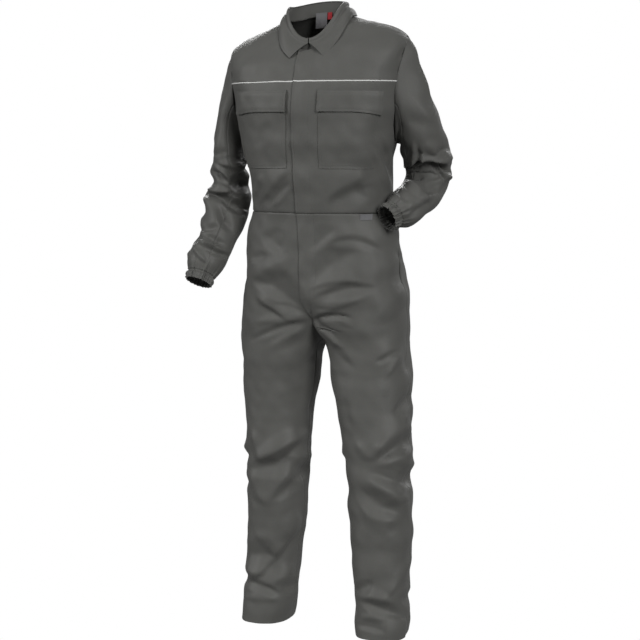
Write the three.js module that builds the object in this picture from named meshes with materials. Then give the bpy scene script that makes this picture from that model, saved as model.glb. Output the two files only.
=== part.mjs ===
// Boiler suit, worn and filled out with no wearer in it. Millimetres, +Z up.
// Origin: middle of the neck base. +X: the wearer's left. -Y: the front.
import * as THREE from 'three';

const WALL = 2; // thickness of the cloth
const SEAM = 0.2; // how far each sewn edge stands back from its seam line
const LIFT = 0.4; // air under a piece that lies on another
const FLY_LIFT = 0.9; // and under the fly lap
const SQUARE = 0.035; // how square the body rings are
const PIPING_Z = -163; // height of the piped yoke seam
const PIPING_TALL = 3.4;
const PIPING_THICK = 1.8;
const FLY_LAP = 24; // how far the left front laps past the middle
const FLY_FLAT = 2; // the lap is at full height from here on
const FLY_RISE = 20; // and starts to rise here
const FLY_CURVE_Z = -680; // the lap starts to narrow here
const FLY_END_Z = -760; // and ends here
const SLIT_TOP_Z = -552; // side opening at the hip
const SLIT_END_Z = -700;
const SLIT_WIDE = 5;
const CUFF_LONG = 24;
const CUFF_WAVES = 18;
const CUFF_WAVE_DEEP = 1.6;
const ARMHOLE_FRONT = 23; // degrees that the armhole cuts into the front
const ARMHOLE_BACK = 19;
const TILT_TOP = 0.065; // the wearer's left shoulder stands higher
const TILT_LOW = 0.008;
const CLOTH = { color: 0x60605d, roughness: 0.85, metalness: 0 };
const CLOTH_INSIDE = { color: 0x4b4b49, roughness: 0.9, metalness: 0 };
const REFLECTIVE = { color: 0xdedede, roughness: 0.5, metalness: 0 };
const LABEL_GREY = { color: 0x6e6e70, roughness: 0.8, metalness: 0 };
const LABEL_RED = { color: 0xa02028, roughness: 0.8, metalness: 0 };

// Torso rings from the neck to the waist seam. a: half width. bf, bb: depth to front and back.
// zs, zf, zb: height at the sides, front and back. ox, cy: where the ring's middle lies.
const TORSO = [
  { ring: 'neck', a: 74, bf: 77, bb: 60, zs: -4, zf: -86, zb: 6, ox: 4, cy: 0 },
  { ring: 'collar edge', a: 100, bf: 92, bb: 78, zs: -12, zf: -100, zb: -3, ox: 6, cy: 0 },
  { ring: 'mid shoulder', a: 158, bf: 114, bb: 104, zs: -30, zf: -129, zb: -34, ox: 7, cy: 0 },
  { ring: 'shoulder tip', a: 223, bf: 134, bb: 124, zs: -64, zf: -165, zb: -90, ox: 9, cy: 0 },
  { ring: 'upper armhole', a: 226, bf: 146, bb: 134, zs: -138, zf: -206, zb: -156, ox: 9, cy: 0 },
  { ring: 'mid armhole', a: 217, bf: 150, bb: 138, zs: -216, zf: -246, zb: -224, ox: 9, cy: 0 },
  { ring: 'armpit', a: 195, bf: 149, bb: 138, zs: -306, zf: -306, zb: -306, ox: 8, cy: 0 },
  { ring: 'rib', a: 183, bf: 144, bb: 133, zs: -366, zf: -366, zb: -366, ox: 9, cy: 2 },
  { ring: 'above waist', a: 177, bf: 138, bb: 127, zs: -428, zf: -428, zb: -428, ox: 12, cy: 4 },
  { ring: 'waist', a: 176, bf: 130, bb: 120, zs: -481, zf: -481, zb: -481, ox: 13, cy: 6 },
];

// Leg rings. cx: the leg's own middle, out from the middle of the body. Above the crotch the two
// legs run into each other and are cut at the middle.
const LEG_RIGHT = [
  { z: -481, ox: 13, cx: 0, cy: 6, a: 176, bf: 130, bb: 120 },
  { z: -520, ox: 16, cx: 5, cy: 8, a: 185, bf: 132, bb: 124 },
  { z: -570, ox: 18, cx: 18, cy: 11, a: 178, bf: 134, bb: 129 },
  { z: -650, ox: 18, cx: 51, cy: 16, a: 153, bf: 136, bb: 136 },
  { z: -725, ox: 18, cx: 86, cy: 20, a: 127, bf: 133, bb: 136 },
  { z: -800, ox: 18, cx: 108, cy: 22, a: 107, bf: 122, bb: 128 },
  { z: -880, ox: 18, cx: 121, cy: 22, a: 94, bf: 112, bb: 117 },
  { z: -1000, ox: 20, cx: 127, cy: 20, a: 82, bf: 102, bb: 108 },
  { z: -1126, ox: 24, cx: 135, cy: 16, a: 77, bf: 95, bb: 96 },
  { z: -1250, ox: 24, cx: 138, cy: 16, a: 72, bf: 86, bb: 92 },
  { z: -1400, ox: 22, cx: 149, cy: 18, a: 69, bf: 78, bb: 86 },
  { z: -1550, ox: 20, cx: 162, cy: 20, a: 65, bf: 76, bb: 84 },
];
const LEG_LEFT = [
  { z: -481, ox: 13, cx: 0, cy: 6, a: 176, bf: 130, bb: 120 },
  { z: -520, ox: 16, cx: 5, cy: 8, a: 185, bf: 132, bb: 124 },
  { z: -570, ox: 18, cx: 18, cy: 11, a: 178, bf: 134, bb: 129 },
  { z: -650, ox: 18, cx: 51, cy: 16, a: 153, bf: 136, bb: 136 },
  { z: -725, ox: 18, cx: 86, cy: 20, a: 127, bf: 133, bb: 136 },
  { z: -800, ox: 18, cx: 108, cy: 20, a: 107, bf: 122, bb: 128 },
  { z: -880, ox: 18, cx: 121, cy: 14, a: 100, bf: 113, bb: 117 },
  { z: -1000, ox: 20, cx: 135, cy: 4, a: 89, bf: 105, bb: 108 },
  { z: -1126, ox: 24, cx: 145, cy: -6, a: 81, bf: 97, bb: 96 },
  { z: -1250, ox: 24, cx: 152, cy: -12, a: 77, bf: 88, bb: 92 },
  { z: -1400, ox: 22, cx: 159, cy: -18, a: 70, bf: 80, bb: 86 },
  { z: -1550, ox: 20, cx: 164, cy: -22, a: 64, bf: 78, bb: 84 },
];
const LEG_LEVELS = [
  -481, -520, -560, -600, -640, -675, -705, -730, -752, -772, -787, -797, -815, -845, -885,
  -935, -985, -1015, -1040, -1065, -1090, -1115, -1140, -1165, -1195, -1240, -1290, -1325,
  -1355, -1385, -1415, -1450, -1490, -1550,
];
const WEB_TOP_Z = -640; // from here down to the crotch the front folds in between the legs
const WEB_END_Z = -794;

// Sleeve rings from just under the armhole to the cuff seam. ra: half size across the arm.
// rf, rb: half size to its front and to its back.
const SLEEVE_RIGHT = [
  { x: -233, y: 6, z: -330, ra: 35, rf: 78, rb: 80 },
  { x: -238, y: 12, z: -398, ra: 46, rf: 72, rb: 74 },
  { x: -242, y: 12, z: -452, ra: 54, rf: 64, rb: 68 },
  { x: -248, y: -18, z: -505, ra: 54, rf: 56, rb: 62 },
  { x: -257, y: -58, z: -560, ra: 49, rf: 52, rb: 56 },
  { x: -266, y: -88, z: -608, ra: 47, rf: 48, rb: 50 },
  { x: -272, y: -104, z: -638, ra: 35, rf: 36, rb: 36 },
];
const SLEEVE_LEFT = [
  { x: 262, y: 46, z: -318, ra: 60, rf: 62, rb: 68 },
  { x: 269, y: 66, z: -353, ra: 60, rf: 50, rb: 66 },
  { x: 270, y: 70, z: -394, ra: 56, rf: 42, rb: 58 },
  { x: 261, y: 43, z: -428, ra: 53, rf: 44, rb: 54 },
  { x: 247, y: 2, z: -453, ra: 50, rf: 46, rb: 48 },
  { x: 236, y: -36, z: -471, ra: 46, rf: 44, rb: 44 },
  { x: 218, y: -61, z: -483, ra: 34, rf: 34, rb: 34 },
];
const CAP_ROWS = 6;
const ARM_ROWS = 16;
const FRONT_SEAM = 6; // sleeve columns, 20 degrees each, at its two seams
const REAR_SEAM = 13;

// Collar. The stand rises from the neck ring to this ring; the leaf folds over it and lies on the
// shoulders. top: where a leaf column leaves the fold, in degrees. edge, t: where it ends.
const COLLAR_TOP = { a: 71, bf: 73, bb: 57, zs: 27, zf: -59, zb: 38, ox: 4, cx: 0, cy: -2 };
const LEAF = [
  { top: -89, edge: -72.5, t: 1.5 },
  { top: -70, edge: -58, t: 1.28 },
  { top: -45, edge: -38, t: 1.02 },
  { top: -20, edge: -16, t: 0.84 },
  { top: 0, edge: 0, t: 0.78 },
  { top: 45, edge: 45, t: 0.9 },
  { top: 90, edge: 90, t: 1.05 },
];
const COLLAR_COLUMNS = [-89, -79, -68, -56, -45, -34, -22, -11, 0, 15, 30, 45, 60, 75, 90];
const LEAF_ROLL = 5.5; // how far the fold stands out from the stand

// Chest pockets, out from the middle and in height. The patch lies on the front, the flap on it.
const POCKET = { near: 42, farTop: 181, farEnd: 161, top: -197, end: -371 };
const FLAP = { wider: 2.5, top: -183, end: -235, drop: 6 };
const POCKET_LIFT = 0.6;
const LABELS = { neckWide: 29, neckTall: 38, tagWide: 12, tagTall: 18, waistWide: 25, waistTall: 14 };

const rad = (degrees) => degrees * Math.PI / 180;
const mix = (from, to, share) => from + (to - from) * share;
const ease = (from, to, value) => {
  const share = Math.min(1, Math.max(0, (value - from) / (to - from)));
  return share * share * (3 - 2 * share);
};
const vec = (x, y, z) => new THREE.Vector3(x, y, z);

// Smooth value of one column of a table. The key column may run up or down.
function column(table, key, at, name) {
  const sign = table[table.length - 1][key] > table[0][key] ? 1 : -1;
  let i = 0;
  while (i < table.length - 2 && (at - table[i + 1][key]) * sign > 0) i += 1;
  const slope = (k) => {
    const low = Math.max(0, k - 1);
    const high = Math.min(table.length - 1, k + 1);
    return (table[high][name] - table[low][name]) / (table[high][key] - table[low][key]);
  };
  const span = table[i + 1][key] - table[i][key];
  const s = Math.min(1, Math.max(0, (at - table[i][key]) / span));
  const s2 = s * s;
  const s3 = s2 * s;
  return (2 * s3 - 3 * s2 + 1) * table[i][name]
    + (s3 - 2 * s2 + s) * span * slope(i)
    + (3 * s2 - 2 * s3) * table[i + 1][name]
    + (s3 - s2) * span * slope(i + 1);
}

TORSO.forEach((row, i) => { row.t = i; });
const TORSO_END = TORSO.length - 1;
const TIP = 3;
const ARMPIT = 6;

function torsoRing(t) {
  const ring = { cx: 0 };
  for (const name of ['a', 'bf', 'bb', 'zs', 'zf', 'zb', 'ox', 'cy']) {
    ring[name] = column(TORSO, 't', t, name);
  }
  return ring;
}

function legRing(side, z) {
  const table = side < 0 ? LEG_RIGHT : LEG_LEFT;
  const ring = { zs: z, zf: z, zb: z };
  for (const name of ['ox', 'cx', 'cy', 'a', 'bf', 'bb']) ring[name] = column(table, 'z', z, name);
  ring.web = 1 - ease(WEB_TOP_Z, WEB_END_Z, z);
  return ring;
}

const ringX = (angle) => (Math.cos(angle) - SQUARE * Math.cos(3 * angle)) / (1 - SQUARE);
const ringY = (angle) => (Math.sin(angle) + SQUARE * Math.sin(3 * angle)) / (1 - SQUARE);

// A point of a body ring. The angle is 0 at the side seam, minus to the front, plus to the back.
function ringPoint(ring, side, angle) {
  const x = ring.ox + side * (ring.cx + ring.a * ringX(angle));
  let depth = ringY(angle);
  if (Math.abs(angle) > Math.PI / 2) depth += (Math.sign(angle) - depth) * (ring.web || 0);
  const y = ring.cy + (angle < 0 ? ring.bf : ring.bb) * depth;
  const level = angle < 0 ? ring.zf : ring.zb;
  const z = mix(ring.zs, level, Math.sin(angle) ** 2);
  const tilt = mix(TILT_LOW, TILT_TOP, ease(-170, -70, z)) * ease(-420, -300, z);
  return vec(x, y, z + tilt * (x - ring.ox));
}

const torsoPoint = (side, t, angle) => ringPoint(torsoRing(t), side, angle);
const legPoint = (side, z, angle) => ringPoint(legRing(side, z), side, angle);

// Outward normal of a body surface given as a function of its row and angle.
function bodyNormal(surface, side, row, angle, lowRow, highRow) {
  const step = 0.02;
  const low = surface(side, Math.max(Math.min(lowRow, highRow), row - step), angle);
  const high = surface(side, Math.min(Math.max(lowRow, highRow), row + step), angle);
  const before = surface(side, row, angle - 0.01);
  const after = surface(side, row, angle + 0.01);
  const normal = high.sub(low).cross(after.sub(before)).normalize();
  const out = vec(side * Math.cos(angle), Math.sin(angle), 0.3);
  return normal.dot(out) < 0 ? normal.negate() : normal;
}

// The angle at which a ring reaches a given place across the body, from its own middle.
function angleAt(ring, across, back) {
  let low = 0;
  let high = Math.PI;
  for (let i = 0; i < 40; i += 1) {
    const angle = (low + high) / 2;
    if (ring.cx + ring.a * ringX(angle) > across) low = angle;
    else high = angle;
  }
  return back ? low : -low;
}

// Largest folds, each seen level from a turn round the suit: 0 looks at its front, 90 at its left
// side. x0, z0 to x1, z1: where one runs, across that view and in height. bow: how far its middle
// stands off to its right. wide: half width. deep: how far in, minus for a ridge.
const LEG_FOLDS = [
  { turn: 18, x0: -155, z0: -1022, x1: -30, z1: -1000, bow: 32, wide: 18, deep: -4 },
  { turn: 18, x0: -165, z0: -1110, x1: -42, z1: -1042, bow: 0, wide: 18, deep: 7 },
  { turn: 18, x0: -162, z0: -1138, x1: -42, z1: -1066, bow: 14, wide: 16, deep: -4 },
  { turn: 18, x0: -120, z0: -1184, x1: -40, z1: -1150, bow: 0, wide: 16, deep: 4 },
  { turn: 18, x0: -175, z0: -1345, x1: -90, z1: -1348, bow: -8, wide: 18, deep: -4 },
  { turn: 18, x0: -150, z0: -1380, x1: -42, z1: -1280, bow: 6, wide: 16, deep: 6 },
  { turn: 18, x0: -182, z0: -1387, x1: -90, z1: -1421, bow: 0, wide: 14, deep: 6 },
  { turn: 18, x0: 135, z0: -1111, x1: 238, z1: -1000, bow: -8, wide: 17, deep: 6 },
  { turn: 18, x0: 162, z0: -1089, x1: 236, z1: -1050, bow: 0, wide: 16, deep: -4 },
  { turn: 18, x0: 133, z0: -1106, x1: 238, z1: -1144, bow: -5, wide: 15, deep: 5 },
  { turn: 18, x0: 138, z0: -1124, x1: 219, z1: -1171, bow: -5, wide: 17, deep: -5 },
  { turn: 18, x0: 113, z0: -1141, x1: 204, z1: -1218, bow: 6, wide: 17, deep: 6 },
  { turn: 18, x0: 89, z0: -1416, x1: 135, z1: -1377, bow: 0, wide: 15, deep: 4 },
  { turn: 18, x0: 113, z0: -1436, x1: 209, z1: -1474, bow: -8, wide: 16, deep: 6 },
  { turn: 18, x0: -150, z0: -643, x1: -42, z1: -710, bow: -10, wide: 17, deep: 5 },
  { turn: 18, x0: -150, z0: -664, x1: -96, z1: -712, bow: 0, wide: 17, deep: -4 },
  { turn: 18, x0: -140, z0: -789, x1: -24, z1: -744, bow: 5, wide: 15, deep: 5 },
  { turn: 18, x0: 3, z0: -625, x1: 101, z1: -571, bow: -12, wide: 18, deep: 5 },
  { turn: 18, x0: 0, z0: -687, x1: 131, z1: -663, bow: -10, wide: 15, deep: 5 },
  { turn: 18, x0: -7, z0: -737, x1: 76, z1: -730, bow: -7, wide: 14, deep: 4 },
  { turn: 18, x0: 0, z0: -769, x1: 84, z1: -854, bow: 5, wide: 17, deep: 5 },
  { turn: 180, x0: 62, z0: -1104, x1: 215, z1: -1132, bow: 10, wide: 17, deep: 7 },
  { turn: 180, x0: 80, z0: -1164, x1: 210, z1: -1146, bow: -8, wide: 16, deep: 5 },
  { turn: 180, x0: -225, z0: -1142, x1: -82, z1: -1112, bow: 9, wide: 17, deep: 7 },
  { turn: 180, x0: -212, z0: -1166, x1: -96, z1: -1186, bow: -6, wide: 16, deep: 5 },
  { turn: 180, x0: 6, z0: -792, x1: 128, z1: -752, bow: 10, wide: 18, deep: 6 },
  { turn: 180, x0: -124, z0: -746, x1: -12, z1: -790, bow: 12, wide: 18, deep: 6 },
  { turn: 180, x0: 24, z0: -862, x1: 168, z1: -834, bow: 8, wide: 18, deep: 5 },
  { turn: 180, x0: -172, z0: -826, x1: -30, z1: -858, bow: 10, wide: 18, deep: 5 },
  { turn: 180, x0: 84, z0: -1452, x1: 220, z1: -1430, bow: 9, wide: 16, deep: 6 },
  { turn: 180, x0: -226, z0: -1422, x1: -104, z1: -1450, bow: 8, wide: 16, deep: 6 },
  { turn: 90, x0: -78, z0: -1120, x1: 60, z1: -1152, bow: 8, wide: 17, deep: 5 },
  { turn: 270, x0: -66, z0: -1146, x1: 62, z1: -1102, bow: 8, wide: 17, deep: 5 },
];
const ARM_FOLDS = [
  { turn: 18, x0: -251, z0: -340, x1: -167, z1: -385, bow: -8, wide: 14, deep: 5 },
  { turn: 18, x0: -262, z0: -377, x1: -206, z1: -402, bow: 0, wide: 13, deep: 6 },
  { turn: 18, x0: -262, z0: -398, x1: -212, z1: -434, bow: -8, wide: 13, deep: -4 },
  { turn: 18, x0: -277, z0: -440, x1: -165, z1: -462, bow: -5, wide: 14, deep: 8 },
  { turn: 18, x0: -233, z0: -466, x1: -177, z1: -498, bow: 0, wide: 13, deep: 5 },
  { turn: 18, x0: -253, z0: -474, x1: -206, z1: -539, bow: -5, wide: 15, deep: 5 },
  { turn: 18, x0: -300, z0: -554, x1: -211, z1: -588, bow: 0, wide: 14, deep: 5 },
  { turn: 18, x0: 254, z0: -333, x1: 320, z1: -318, bow: 0, wide: 13, deep: 4 },
  { turn: 18, x0: 222, z0: -358, x1: 335, z1: -366, bow: -22, wide: 12, deep: -5 },
  { turn: 18, x0: 220, z0: -378, x1: 335, z1: -392, bow: -25, wide: 14, deep: 12 },
  { turn: 18, x0: 222, z0: -404, x1: 278, z1: -456, bow: 0, wide: 14, deep: 5 },
  { turn: 18, x0: 229, z0: -474, x1: 286, z1: -437, bow: 0, wide: 13, deep: 4 },
  { turn: 180, x0: 205, z0: -352, x1: 292, z1: -330, bow: 6, wide: 15, deep: 5 },
  { turn: 180, x0: 200, z0: -440, x1: 296, z1: -408, bow: 6, wide: 15, deep: 6 },
  { turn: 180, x0: 212, z0: -494, x1: 300, z1: -470, bow: 5, wide: 15, deep: 5 },
  { turn: 180, x0: -318, z0: -330, x1: -228, z1: -352, bow: 6, wide: 15, deep: 5 },
  { turn: 90, x0: -30, z0: -398, x1: 104, z1: -372, bow: -8, wide: 15, deep: 8 },
  { turn: 90, x0: -40, z0: -440, x1: 40, z1: -408, bow: 0, wide: 14, deep: 5 },
  { turn: 270, x0: -62, z0: -388, x1: 60, z1: -412, bow: 6, wide: 15, deep: 5 },
  { turn: 270, x0: -56, z0: -452, x1: 66, z1: -486, bow: 6, wide: 15, deep: 6 },
  { turn: 270, x0: 10, z0: -560, x1: 112, z1: -540, bow: -6, wide: 14, deep: 5 },
];
const FOLD_FACING = [0.05, 0.45]; // a fold fades out where the cloth turns away from its view

// How far in the folds go at a point with its outward direction.
function foldDepth(list, p, n) {
  let sum = 0;
  for (const f of list) {
    const turn = rad(f.turn);
    const facing = n.x * Math.sin(turn) - n.y * Math.cos(turn);
    const px = p.x * Math.cos(turn) + p.y * Math.sin(turn) - f.x0;
    const pz = p.z - f.z0;
    const dx = f.x1 - f.x0;
    const dz = f.z1 - f.z0;
    const long = Math.hypot(dx, dz);
    const along = (px * dx + pz * dz) / long / long;
    const off = (px * dz - pz * dx) / long - f.bow * 4 * along * (1 - along);
    const ends = ease(-0.2, 0.25, along) * (1 - ease(0.75, 1.2, along));
    sum += f.deep * ease(...FOLD_FACING, facing) * ends * Math.exp(-((off / f.wide) ** 2));
  }
  return sum;
}

const flyRise = (x, z) => (WALL + FLY_LIFT) * (1 - ease(FLY_FLAT, FLY_RISE, x))
  * (1 - ease(FLY_END_Z, FLY_END_Z - 14, z));
const flyEdge = (z) => mix(-FLY_LAP, SEAM, ease(FLY_CURVE_Z, FLY_END_Z, z));

// Moves a point out; level keeps its height.
function moveOut(p, n, distance, level) {
  const way = n.clone();
  way.z *= 1 - level;
  way.normalize();
  return p.addScaledVector(way, distance / way.dot(n));
}

// One point of the cloth with its outward normal, raised where the fly laps over.
function torsoCloth(side, t, angle, lap) {
  const p = torsoPoint(side, t, angle);
  const n = bodyNormal(torsoPoint, side, t, angle, 0, TORSO_END);
  if (lap) {
    const level = Math.max(ease(-430, -475, p.z), 1 - ease(0, 0.6, t));
    moveOut(p, n, flyRise(p.x - torsoRing(t).ox, p.z), level);
  }
  return { p, n };
}

function legCloth(side, z, angle, lap) {
  const p = legPoint(side, z, angle);
  const n = bodyNormal(legPoint, side, z, angle, LEG_LEVELS[LEG_LEVELS.length - 1], LEG_LEVELS[0]);
  p.addScaledVector(n, -foldDepth(LEG_FOLDS, p, n));
  if (lap) moveOut(p, n, flyRise(p.x - legRing(side, z).ox, z), 1);
  return { p, n };
}

// A closed wall from a grid of outer points and normals. wrap: the columns close into a tube.
function wallMesh(name, look, grid, wrap = false, thick = WALL) {
  const rows = grid.length;
  const cols = grid[0].length;
  const positions = [];
  for (const inner of [0, 1]) {
    for (const row of grid) {
      for (const { p, n } of row) {
        const q = p.clone().addScaledVector(n, -inner * thick);
        positions.push(q.x, q.y, q.z);
      }
    }
  }
  const outer = (i, j) => i * cols + j % cols;
  const under = (i, j) => rows * cols + outer(i, j);
  const index = [];
  const quad = (a, b, c, d) => index.push(a, b, c, a, c, d);
  const lastCol = wrap ? cols : cols - 1;
  for (let i = 0; i < rows - 1; i += 1) {
    for (let j = 0; j < lastCol; j += 1) {
      quad(outer(i, j), outer(i + 1, j), outer(i + 1, j + 1), outer(i, j + 1));
      quad(under(i, j), under(i, j + 1), under(i + 1, j + 1), under(i + 1, j));
    }
  }
  for (let j = 0; j < lastCol; j += 1) {
    quad(outer(0, j), outer(0, j + 1), under(0, j + 1), under(0, j));
    quad(outer(rows - 1, j), under(rows - 1, j), under(rows - 1, j + 1), outer(rows - 1, j + 1));
  }
  if (!wrap) {
    for (let i = 0; i < rows - 1; i += 1) {
      quad(outer(i, 0), under(i, 0), under(i + 1, 0), outer(i + 1, 0));
      quad(outer(i, cols - 1), outer(i + 1, cols - 1), under(i + 1, cols - 1), under(i, cols - 1));
    }
  }
  const point = (k) => vec(positions[3 * k], positions[3 * k + 1], positions[3 * k + 2]);
  let volume = 0;
  for (let k = 0; k < index.length; k += 3) {
    volume += point(index[k]).dot(point(index[k + 1]).cross(point(index[k + 2])));
  }
  if (volume < 0) {
    for (let k = 0; k < index.length; k += 3) {
      const swap = index[k + 1];
      index[k + 1] = index[k + 2];
      index[k + 2] = swap;
    }
  }
  const geometry = new THREE.BufferGeometry();
  geometry.setAttribute('position', new THREE.Float32BufferAttribute(positions, 3));
  geometry.setIndex(index);
  geometry.computeVertexNormals();
  const mesh = new THREE.Mesh(geometry, new THREE.MeshStandardMaterial(look));
  mesh.name = name;
  return mesh;
}

// Draws the edges of a panel back from their seam lines.
function drawBack(grid, edges) {
  const rows = grid.length;
  const cols = grid[0].length;
  const pull = (from, to) => {
    const step = to.p.clone().sub(from.p).setLength(SEAM);
    return from.p.clone().add(step);
  };
  const moved = [];
  for (let i = 0; i < rows; i += 1) {
    if (edges.includes('start')) moved.push([grid[i][0], pull(grid[i][0], grid[i][1])]);
    if (edges.includes('end')) {
      moved.push([grid[i][cols - 1], pull(grid[i][cols - 1], grid[i][cols - 2])]);
    }
  }
  for (const [node, place] of moved) node.p = place;
  const level = [];
  for (let j = 0; j < cols; j += 1) {
    if (edges.includes('top')) level.push([grid[0][j], pull(grid[0][j], grid[1][j])]);
    if (edges.includes('bottom')) {
      level.push([grid[rows - 1][j], pull(grid[rows - 1][j], grid[rows - 2][j])]);
    }
  }
  for (const [node, place] of level) node.p = place;
  return grid;
}

// The side edge of the front and back: shoulder seam, then armhole, then side seam.
function edgeAngle(t, back) {
  if (t <= TIP || t >= ARMPIT) return 0;
  const share = (t - TIP) / (ARMPIT - TIP);
  const most = rad(back ? ARMHOLE_BACK : ARMHOLE_FRONT);
  return (back ? 1 : -1) * most * Math.sin(Math.PI * share) ** 0.8;
}

// Where the row at a given height crosses the front, from the side edge (0) to its inner end (1).
function frontAngle(side, t, share) {
  const start = edgeAngle(t, false);
  const end = side < 0 ? -Math.PI / 2 : angleAt(torsoRing(t), FLY_RISE, false);
  return mix(start, end, share);
}

function pipingRow(side, share) {
  let low = 1;
  let high = 6;
  for (let i = 0; i < 40; i += 1) {
    const t = (low + high) / 2;
    const ring = torsoRing(t);
    const angle = frontAngle(side, t, share);
    if (mix(ring.zs, ring.zf, Math.sin(angle) ** 2) > PIPING_Z) low = t;
    else high = t;
  }
  return low;
}

const PIPING_SIDE_T = pipingRow(-1, 0);
const SIDE_ROWS = [0, 0.75, 1.5, 2.25, TIP];
for (let i = 1; i <= 4; i += 1) SIDE_ROWS.push(mix(TIP, PIPING_SIDE_T, i / 4));
const PIPING_INDEX = SIDE_ROWS.length - 1;
for (let i = 1; i <= 5; i += 1) SIDE_ROWS.push(mix(PIPING_SIDE_T, ARMPIT, i / 5));
const ARMPIT_INDEX = SIDE_ROWS.length - 1;
const TIP_INDEX = 4;
for (const t of [6.5, 7, 7.5, 8, 8.5, 9]) SIDE_ROWS.push(t);

// Row position on the front at a share of the way in, so that the piping row stays level.
function frontRow(side, rowT, share) {
  const here = pipingRow(side, share);
  if (rowT <= PIPING_SIDE_T) return rowT * here / PIPING_SIDE_T;
  const left = (TORSO_END - rowT) / (TORSO_END - PIPING_SIDE_T);
  return TORSO_END - left * (TORSO_END - here);
}

const FRONT_COLUMNS = 8;

// Front of one side as a grid. The left one carries on over the middle as the fly lap.
function frontGrid(side) {
  return SIDE_ROWS.map((rowT) => {
    const row = [];
    for (let j = 0; j <= FRONT_COLUMNS; j += 1) {
      const share = j / FRONT_COLUMNS;
      const t = frontRow(side, rowT, share);
      row.push(torsoCloth(side, t, frontAngle(side, t, share), side > 0));
    }
    if (side > 0) {
      const t = frontRow(side, rowT, 1);
      for (const across of [FLY_FLAT, -FLY_LAP / 2, -FLY_LAP]) {
        row.push(torsoCloth(side, t, angleAt(torsoRing(t), across, false), true));
      }
    }
    return row;
  });
}

// Back of both sides as one grid, from the left side edge to the right one.
function backGrid() {
  return SIDE_ROWS.map((t) => {
    const row = [];
    const start = edgeAngle(t, true);
    for (let j = 0; j <= FRONT_COLUMNS; j += 1) {
      row.push(torsoCloth(1, t, mix(start, Math.PI / 2, j / FRONT_COLUMNS), false));
    }
    for (let j = FRONT_COLUMNS - 1; j >= 0; j -= 1) {
      row.push(torsoCloth(-1, t, mix(start, Math.PI / 2, j / FRONT_COLUMNS), false));
    }
    return row;
  });
}

const sleeveTable = (side) => (side < 0 ? SLEEVE_RIGHT : SLEEVE_LEFT);
for (const table of [SLEEVE_RIGHT, SLEEVE_LEFT]) table.forEach((row, i) => { row.s = i; });

function armMiddle(side, s) {
  const table = sleeveTable(side);
  return vec(column(table, 's', s, 'x'), column(table, 's', s, 'y'), column(table, 's', s, 'z'));
}

function armDirection(side, s) {
  const end = sleeveTable(side).length - 1;
  const from = armMiddle(side, Math.max(0, s - 0.05));
  const to = armMiddle(side, Math.min(end, s + 0.05));
  return to.sub(from).normalize();
}

// Frames along an arm: way down the arm, outward and front, carried on with the least turn.
const FRAME_STEPS = 96;
function armFrames(side) {
  const frames = [];
  let out = vec(side, 0, 0);
  for (let i = 0; i <= FRAME_STEPS; i += 1) {
    const s = (sleeveTable(side).length - 1) * i / FRAME_STEPS;
    const down = armDirection(side, s);
    out = out.clone().addScaledVector(down, -out.dot(down)).normalize();
    const front = down.clone().cross(out).multiplyScalar(side);
    frames.push({ s, down, out, front });
  }
  return frames;
}
const FRAMES = { '-1': armFrames(-1), 1: armFrames(1) };

// Sleeve folds stop short of the armhole and of the cuff seam.
const armEnds = (s, last) => ease(0, 0.5, s) * (1 - ease(last - 0.6, last, s));

// Ring angle: 0 outward, 90 degrees to the front, 180 towards the body.
function armPoint(side, s, angle) {
  const table = sleeveTable(side);
  const last = table.length - 1;
  const frame = FRAMES[side][Math.round(Math.min(1, s / last) * FRAME_STEPS)];
  const ra = column(table, 's', s, 'ra');
  const r2 = column(table, 's', s, Math.sin(angle) >= 0 ? 'rf' : 'rb');
  const across = frame.out.clone().multiplyScalar(Math.cos(angle));
  const out = across.clone().addScaledVector(frame.front, Math.sin(angle));
  const p = armMiddle(side, s)
    .addScaledVector(frame.out, ra * Math.cos(angle))
    .addScaledVector(frame.front, r2 * Math.sin(angle));
  return p.addScaledVector(out, -foldDepth(ARM_FOLDS, p, out) * armEnds(s, last));
}

// The armhole as a closed list of points: shoulder tip, down the front, armpit, up the back.
function armhole(side) {
  const list = [];
  for (let i = TIP_INDEX; i <= ARMPIT_INDEX; i += 1) {
    const rowT = SIDE_ROWS[i];
    const t = frontRow(side, rowT, 0);
    list.push(torsoCloth(side, t, frontAngle(side, t, 0), false));
  }
  for (let i = ARMPIT_INDEX - 1; i > TIP_INDEX; i -= 1) {
    list.push(torsoCloth(side, SIDE_ROWS[i], edgeAngle(SIDE_ROWS[i], true), false));
  }
  return list;
}

// Sleeve as a grid whose first row is the armhole and whose last row is the cuff seam.
function sleeveGrid(side) {
  const hole = armhole(side);
  const count = hole.length;
  const angles = hole.map((_, j) => 2 * Math.PI * j / count);
  const starts = hole.map(({ p, n }, j) => {
    const out = vec(side, 0, -0.75).normalize();
    const low = ease(0.2, 0.95, (1 - Math.cos(angles[j])) / 2);
    out.addScaledVector(n, -out.dot(n) * (1 - low) * 0.6).normalize();
    return { p, out };
  });
  const firstDown = FRAMES[side][0].down;
  const grid = [];
  for (let i = 0; i < CAP_ROWS; i += 1) {
    const s = i / CAP_ROWS;
    grid.push(angles.map((angle, j) => {
      const from = starts[j].p;
      const to = armPoint(side, 0, angle);
      const reach = from.distanceTo(to);
      const c1 = from.clone().addScaledVector(starts[j].out, 0.22 * reach);
      const c2 = to.clone().addScaledVector(firstDown, -0.4 * reach);
      const q = 1 - s;
      return from.clone().multiplyScalar(q * q * q)
        .addScaledVector(c1, 3 * q * q * s)
        .addScaledVector(c2, 3 * q * s * s)
        .addScaledVector(to, s * s * s);
    }));
  }
  const last = sleeveTable(side).length - 1;
  for (let i = 0; i <= ARM_ROWS; i += 1) {
    grid.push(angles.map((angle) => armPoint(side, last * i / ARM_ROWS, angle)));
  }
  const cells = withNormals(grid);
  levelEnd(cells[cells.length - 1], side);
  return { grid: cells, hole };
}

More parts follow.
